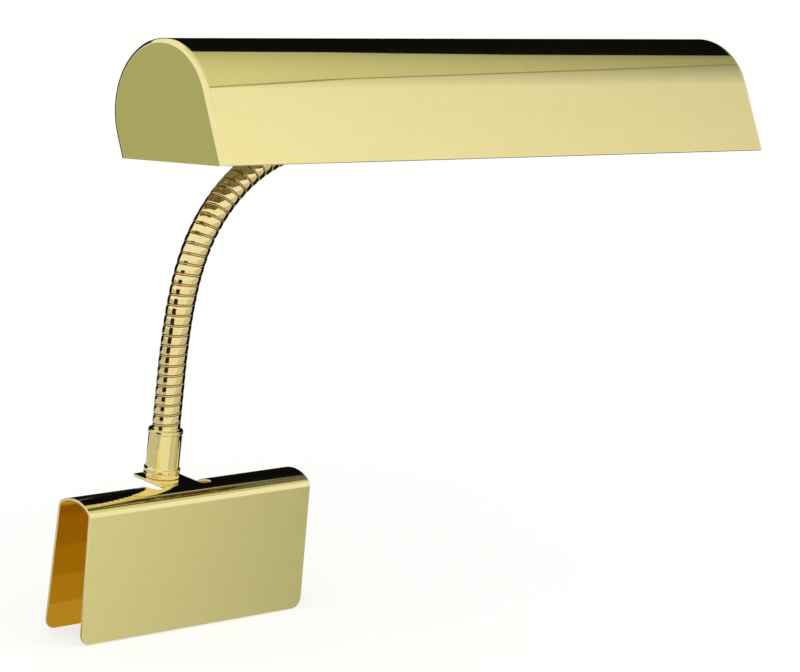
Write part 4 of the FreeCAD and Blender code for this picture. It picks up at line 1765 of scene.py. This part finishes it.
def corners_on(
    axis: str, place: float, *corners: tuple[float, float]
) -> tuple[tuple[float, float, float], ...]:
    """Corners of a flat card that lies across an axis.

    Args:
        axis: The axis, as X, Y or Z.
        place: Where the card lies on that axis.
        *corners: The other two coordinates of each corner.

    Returns:
        The corners in X, Y and Z.
    """
    at = "XYZ".index(axis)
    return tuple((*corner[:at], place, *corner[at:]) for corner in corners)


@dataclass(frozen=True)
class Card:
    """A flat card round the lamp that only its polished metal sees.

    Its level runs evenly from the near point to far_level at the far point.
    """

    name: str
    corners: tuple[tuple[float, float, float], ...]
    level: float
    tint: str = "#FFFFFF"
    far_level: float | None = None
    near: tuple[float, float, float] = (0.0, 0.0, 0.0)
    far: tuple[float, float, float] = (1.0, 0.0, 0.0)

    def material(self) -> bpy.types.Material:
        """Make the card's glow."""
        material, tree = new_material(self.name)
        level: float | bpy.types.NodeSocket = self.level
        if self.far_level is not None:
            near, far = Vector(self.near), Vector(self.far)
            along = (far - near).normalized()
            place = add_node(tree, "ShaderNodeTexCoord").outputs["Object"]
            run = add_node(
                tree, "ShaderNodeVectorMath", {0: place, 1: along}, operation="DOT_PRODUCT"
            ).outputs["Value"]
            level = add_node(
                tree,
                "ShaderNodeMapRange",
                {
                    "Value": run,
                    "From Min": near.dot(along),
                    "From Max": far.dot(along),
                    "To Min": self.level,
                    "To Max": self.far_level,
                },
            ).outputs["Result"]
        glow = add_node(
            tree, "ShaderNodeEmission", {"Color": linear(self.tint), "Strength": level}
        )
        add_node(tree, "ShaderNodeOutputMaterial", {"Surface": glow.outputs[0]})
        return material


CARDS = (
    Card(
        "black_flag",
        corners_on("Y", WALL, (0.34, WALL_FOOT), (2.3, WALL_FOOT), (2.3, 1.2), (1.22, 1.2),
               (1.02, 1.07), (0.72, 0.95), (0.43, 0.9)),
        BLACK,
    ),
    Card(
        "low_flag",
        corners_on("Y", WALL, (-0.25, WALL_FOOT), (0.37, WALL_FOOT), (0.37, 0.48), (-0.25, 0.3)),
        DARK,
    ),
    Card(
        "side_flag",
        corners_on("X", 2.3, (WALL, WALL_FOOT), (-1.55, WALL_FOOT), (-1.55, 0.35), (WALL, 0.35)),
        BLACK,
    ),
    Card(
        "black_ceiling",
        corners_on("Z", 1.199, (1.22, WALL), (1.34, 0.38), (1.58, 0.32), (2.4, 0.2), (2.4, WALL)),
        BLACK,
    ),
    Card(
        "grey_wall",
        corners_on("Y", 0.471, (0.44, 0.85), (1.3, 0.95), (1.3, CEILING), (0.44, CEILING)),
        0.53,
        CREAM,
    ),
    Card(
        "grey_ceiling",
        corners_on("Z", CEILING, (-0.6, WALL), (2.1, WALL), (1.6, -0.02), (1.31, -0.36),
               (1.16, -0.56), (1.16, -0.95), (0.43, -1.17)),
        0.06,
        CREAM,
        0.85,
        (2.0, WALL, CEILING),
        (0.657, -0.197, CEILING),
    ),
    Card(
        "ceiling_edge",
        corners_on("Z", 1.201, (1.16, -0.95), (1.16, -0.56), (1.31, -0.36), (1.6, -0.02),
               (2.1, WALL), (2.13, 0.44), (1.63, -0.05), (1.34, -0.39), (1.195, -0.575),
               (1.195, -0.95)),
        0.3,
        "#FFF6C8",
    ),
    Card(
        "pale_ceiling",
        corners_on("Z", 1.21, (0.9, -2.2), (3.6, -2.2), (3.6, 0.9), (1.2, 0.9), (0.9, -0.5)),
        0.35,
        "#FFFFF2",
        1.02,
        (1.746, -0.175, 1.21),
        (1.325, -1.11, 1.21),
    ),
    Card(
        "dark_floor",
        corners_on("Z", FLOOR_DARK, (0.27, -0.12), (1.8, -0.8), (1.85, 1.85), (-0.25, 2.0),
               (-0.04, 0.33), (0.2, 0.2)),
        DARK,
    ),
    Card(
        "clip_floor",
        corners_on("Z", -0.0624, (-0.075, -0.013), (-0.075, -0.085), (0.5, -0.66), (0.66, -0.54),
               (0.2, -0.013)),
        0.74,
        "#FEFFE6",
        0.52,
        (-0.05, -0.05, -0.0624),
        (0.03, 0.03, -0.0624),
    ),
    Card(
        "bright_floor",
        corners_on("Z", -0.0615, (-0.12, -0.06), (-2.2, -0.35), (-2.2, -2.2), (0.3, -2.2),
               (-0.02, -0.16)),
        0.95,
        "#FFFDF2",
    ),
    Card(
        "dark_strip",
        corners_on("Z", FLOOR_DARK, (-0.32, 0.086), (POST, 0.32), (POST, -0.4), (-0.31, -0.107)),
        SHADOW,
    ),
    Card(
        "dark_post",
        corners_on("X", POST, (0.32, FLOOR_DARK), (-0.4, FLOOR_DARK), (-0.4, 0.2), (0.32, 0.2)),
        SHADOW,
    ),
    Card(
        "olive_floor",
        corners_on("Z", FLOOR_DARK, (-0.6, 0.75), (-1.7, 0.75), (-1.9, 1.9), (-0.6, 1.9)),
        0.5,
        "#F3FCCB",
    ),
    # Painted shadow: a dim amber card on the floor under the clip, in place of the clip's shadow,
    # seen only in the metal.
    Card(
        "clip_painted_shadow",
        corners_on("Z", -0.0622, (-0.3, -0.0125), (0.3, -0.0125), (0.3, 0.0125), (-0.3, 0.0125)),
        0.58,
        "#F0BC40",
    ),
)


@dataclass(frozen=True)
class SoftLamp:
    """A large square lamp that lights the floor and the shade's inside, unseen in the metal."""

    name: str
    place: tuple[float, float, float]
    aim: tuple[float, float, float]
    size: float
    level: float

    def hang(self) -> None:
        """Add the lamp to the scene."""
        light = bpy.data.lights.new(self.name, "AREA")
        light.shape = "SQUARE"
        light.size = self.size
        light.energy = self.level * math.pi * self.size * self.size
        lamp = bpy.data.objects.new(self.name, light)
        bpy.context.scene.collection.objects.link(lamp)
        lamp.visible_glossy = False
        lamp.location = self.place
        away = Vector(self.place) - Vector(self.aim)
        lamp.rotation_mode = "QUATERNION"
        lamp.rotation_quaternion = away.to_track_quat("Z", "Y")


@dataclass
class Studio:
    """Pale floor, even white surround, two soft lamps, dark and grey cards, and the camera."""

    floor_height: float = -0.0627
    floor_half: float = 4.0
    floor_paint: str = "#C2C2BE"
    floor_glow: float = 0.3
    floor_glow_seen: float = 0.36
    surround_level: float = 0.62
    lens: float = 162.0
    sensor: float = 36.0
    camera_place: tuple[float, float, float] = (-1.0321, -1.1574, 0.4444)
    camera_right: tuple[float, float, float] = (0.7218, -0.6834, 0.1097)
    camera_up: tuple[float, float, float] = (0.0813, 0.2410, 0.9671)
    cards: tuple[Card, ...] = CARDS
    soft_lamps: tuple[SoftLamp, ...] = (
        SoftLamp("soft_lamp_left", (-1.1, -0.9, 1.5), (0.05, 0.0, 0.1), 0.9, 0.8),
        SoftLamp("soft_lamp_right", (1.3, -0.8, 1.4), (0.1, 0.0, 0.1), 0.9, 0.6),
    )

    def seen(self, tree: bpy.types.NodeTree, *rays: str) -> bpy.types.NodeSocket:
        """Switch that is 1 for some rays and 0 for all others.

        Args:
            tree: Node tree that gets the switch.
            *rays: Names of the Light Path outputs.

        Returns:
            The switch.
        """
        path = add_node(tree, "ShaderNodeLightPath").outputs
        switch = path[rays[0]]
        for ray in rays[1:]:
            either = {0: switch, 1: path[ray]}
            switch = add_node(tree, "ShaderNodeMath", either, operation="MAXIMUM").outputs[0]
        return switch

    def surround(self) -> None:
        """Light the scene evenly and show white wherever a ray leaves it."""
        world = bpy.data.worlds.new("surround")
        bpy.context.scene.world = world
        world.use_nodes = True
        tree = world.node_tree
        tree.nodes.clear()
        seen = self.seen(tree, "Is Camera Ray", "Is Glossy Ray", "Is Transmission Ray")
        level = add_node(
            tree,
            "ShaderNodeMapRange",
            {"Value": seen, "To Min": self.surround_level, "To Max": 1.0},
        ).outputs["Result"]
        white = {"Color": (1.0, 1.0, 1.0, 1.0), "Strength": level}
        light = add_node(tree, "ShaderNodeBackground", white)
        add_node(tree, "ShaderNodeOutputWorld", {"Surface": light.outputs[0]})

    def floor(self) -> None:
        """Lay a pale floor that keeps a soft shadow and looks white to the camera."""
        bm = bmesh.new()
        bmesh.ops.create_grid(bm, x_segments=1, y_segments=1, size=self.floor_half)
        bmesh.ops.translate(bm, vec=(0.0, 0.0, self.floor_height), verts=bm.verts[:])
        mesh = bpy.data.meshes.new("floor")
        bm.to_mesh(mesh)
        bm.free()
        material, tree = new_material("pale_floor")
        camera = self.seen(tree, "Is Camera Ray")
        glow = add_node(
            tree,
            "ShaderNodeMath",
            {0: camera, 1: self.floor_glow_seen, 2: self.floor_glow},
            operation="MULTIPLY_ADD",
        ).outputs[0]
        seen = self.seen(tree, "Is Camera Ray", "Is Glossy Ray")
        glow = add_node(
            tree, "ShaderNodeMath", {0: glow, 1: seen}, operation="MULTIPLY"
        ).outputs[0]
        white = add_node(
            tree, "ShaderNodeEmission", {"Color": (1.0, 1.0, 1.0, 1.0), "Strength": glow}
        )
        paint = add_node(tree, "ShaderNodeBsdfDiffuse", {"Color": linear(self.floor_paint)})
        both = add_node(tree, "ShaderNodeAddShader", {0: white.outputs[0], 1: paint.outputs[0]})
        add_node(tree, "ShaderNodeOutputMaterial", {"Surface": both.outputs[0]})
        mesh.materials.append(material)
        self.stage(bpy.data.objects.new("floor", mesh))

    def stage(self, thing: bpy.types.Object) -> None:
        """Add an object that belongs to the studio."""
        bpy.context.scene.collection.objects.link(thing)

    def stand_cards(self) -> None:
        """Stand the cards that polished metal reflects."""
        for card in self.cards:
            bm = bmesh.new()
            bm.faces.new([bm.verts.new(corner) for corner in card.corners])
            mesh = bpy.data.meshes.new(card.name)
            bm.to_mesh(mesh)
            bm.free()
            mesh.materials.append(card.material())
            thing = bpy.data.objects.new(card.name, mesh)
            self.stage(thing)
            thing.visible_camera = False
            thing.visible_diffuse = False
            thing.visible_transmission = False
            thing.visible_shadow = False
            thing.visible_volume_scatter = False

    def lamps(self) -> None:
        """Hang the large soft lamps."""
        for lamp in self.soft_lamps:
            lamp.hang()

    def camera(self) -> None:
        """Stand the camera."""
        data = bpy.data.cameras.new("camera")
        data.lens = self.lens
        data.sensor_width = self.sensor
        data.sensor_fit = "HORIZONTAL"
        camera = bpy.data.objects.new("camera", data)
        right, up = Vector(self.camera_right).normalized(), Vector(self.camera_up)
        back = right.cross(up).normalized()
        up = back.cross(right)
        turned_to = Matrix((right, up, back)).transposed().to_4x4()
        camera.matrix_world = Matrix.Translation(self.camera_place) @ turned_to
        bpy.context.scene.collection.objects.link(camera)
        bpy.context.scene.camera = camera

    def build(self) -> None:
        """Set the whole studio up."""
        bpy.context.scene.view_settings.view_transform = "Standard"
        self.surround()
        self.floor()
        self.stand_cards()
        self.lamps()
        self.camera()


# --- the lamp -------------------------------------------------------------------------------------

DRESSED_NODES: dict[str, Finish] = {
    "upper_spring_washer": ZINC_PLATED_STEEL,
    "socket_bracket": ZINC_PLATED_STEEL,
    "terminal_screws": SOCKET_BRASS,
    "centre_contact": SOCKET_BRASS,
    "key_stem": SOCKET_BRASS,
    "bulb_leads": DRAWN_WIRE,
}


@dataclass
class PianoLamp:
    """The whole lamp."""

    clip: DeskClip = field(default_factory=DeskClip)
    ferrule: Ferrule = field(default_factory=Ferrule)
    neck: Gooseneck = field(default_factory=Gooseneck)
    shade: Shade = field(default_factory=Shade)
    fittings: NeckFittings = field(default_factory=NeckFittings)
    socket: Socket = field(default_factory=Socket)
    bulb: TubularBulb = field(default_factory=TubularBulb)
    shade_roll: float = -29.05
    neck_from_left: float = 83.0
    neck_beside: float = -0.75
    neck_below: float = 16.2
    bracket_from_neck: float = 22.3
    socket_above_neck: float = 17.0
    spigot_bore: float = 3.6
    made: dict[str, bpy.types.Material] = field(default_factory=dict)

    def shade_place(self) -> Matrix:
        """Frame of the shade: X from its left end, Z up through the half round."""
        turned_to = turn(-90, "Y") @ turn(self.shade_roll, "X")
        from_left = shift(-self.neck_from_left, -self.neck_beside, self.neck_below)
        return self.neck.frames()[-1] @ turned_to @ from_left

    def socket_place(self) -> Matrix:
        """Frame of the socket: on the bracket's face, Z along the bulb."""
        along = self.neck_from_left + self.bracket_from_neck + self.socket.bracket_sheet
        above = self.socket_above_neck - self.neck_below
        return self.shade_place() @ shift(along, self.neck_beside, above) @ turn(90, "Y")

    def paint(self, finish: Finish) -> bpy.types.Material:
        """Material of a finish, made once."""
        if finish.name not in self.made:
            self.made[finish.name] = finish.build()
        return self.made[finish.name]

    def pieces(self) -> list[Piece]:
        """Make every new piece of the lamp."""
        end = self.neck.frames()[-1]
        foot = shift(self.clip.tab_middle, self.neck.start.y, self.clip.sheet)
        return [
            self.clip.build(self.paint),
            self.ferrule.lower(self.paint, self.spigot_bore, foot),
            *self.neck.build(self.paint),
            self.ferrule.upper(self.paint, self.fittings.nipple_radius, end),
            *self.fittings.build(self.paint, foot, end),
            *self.shade.build(self.paint, self.shade_place()),
            *self.socket.build(self.paint, self.fittings, self.socket_place()),
            *self.bulb.build(self.paint, self.socket, self.socket_place()),
        ]

    def dress_nodes(self) -> None:
        """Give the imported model's own pieces their finishes."""
        for node, finish in DRESSED_NODES.items():
            dress(node, self.paint(finish))


def main() -> None:
    """Build the studio, the lamp's pieces and their finishes."""
    logging.basicConfig(level=logging.INFO, format="%(message)s")
    Studio().build()
    lamp = PianoLamp()
    for piece in lamp.pieces():
        piece.place()
    lamp.dress_nodes()


if __name__ == "__main__":
    main()
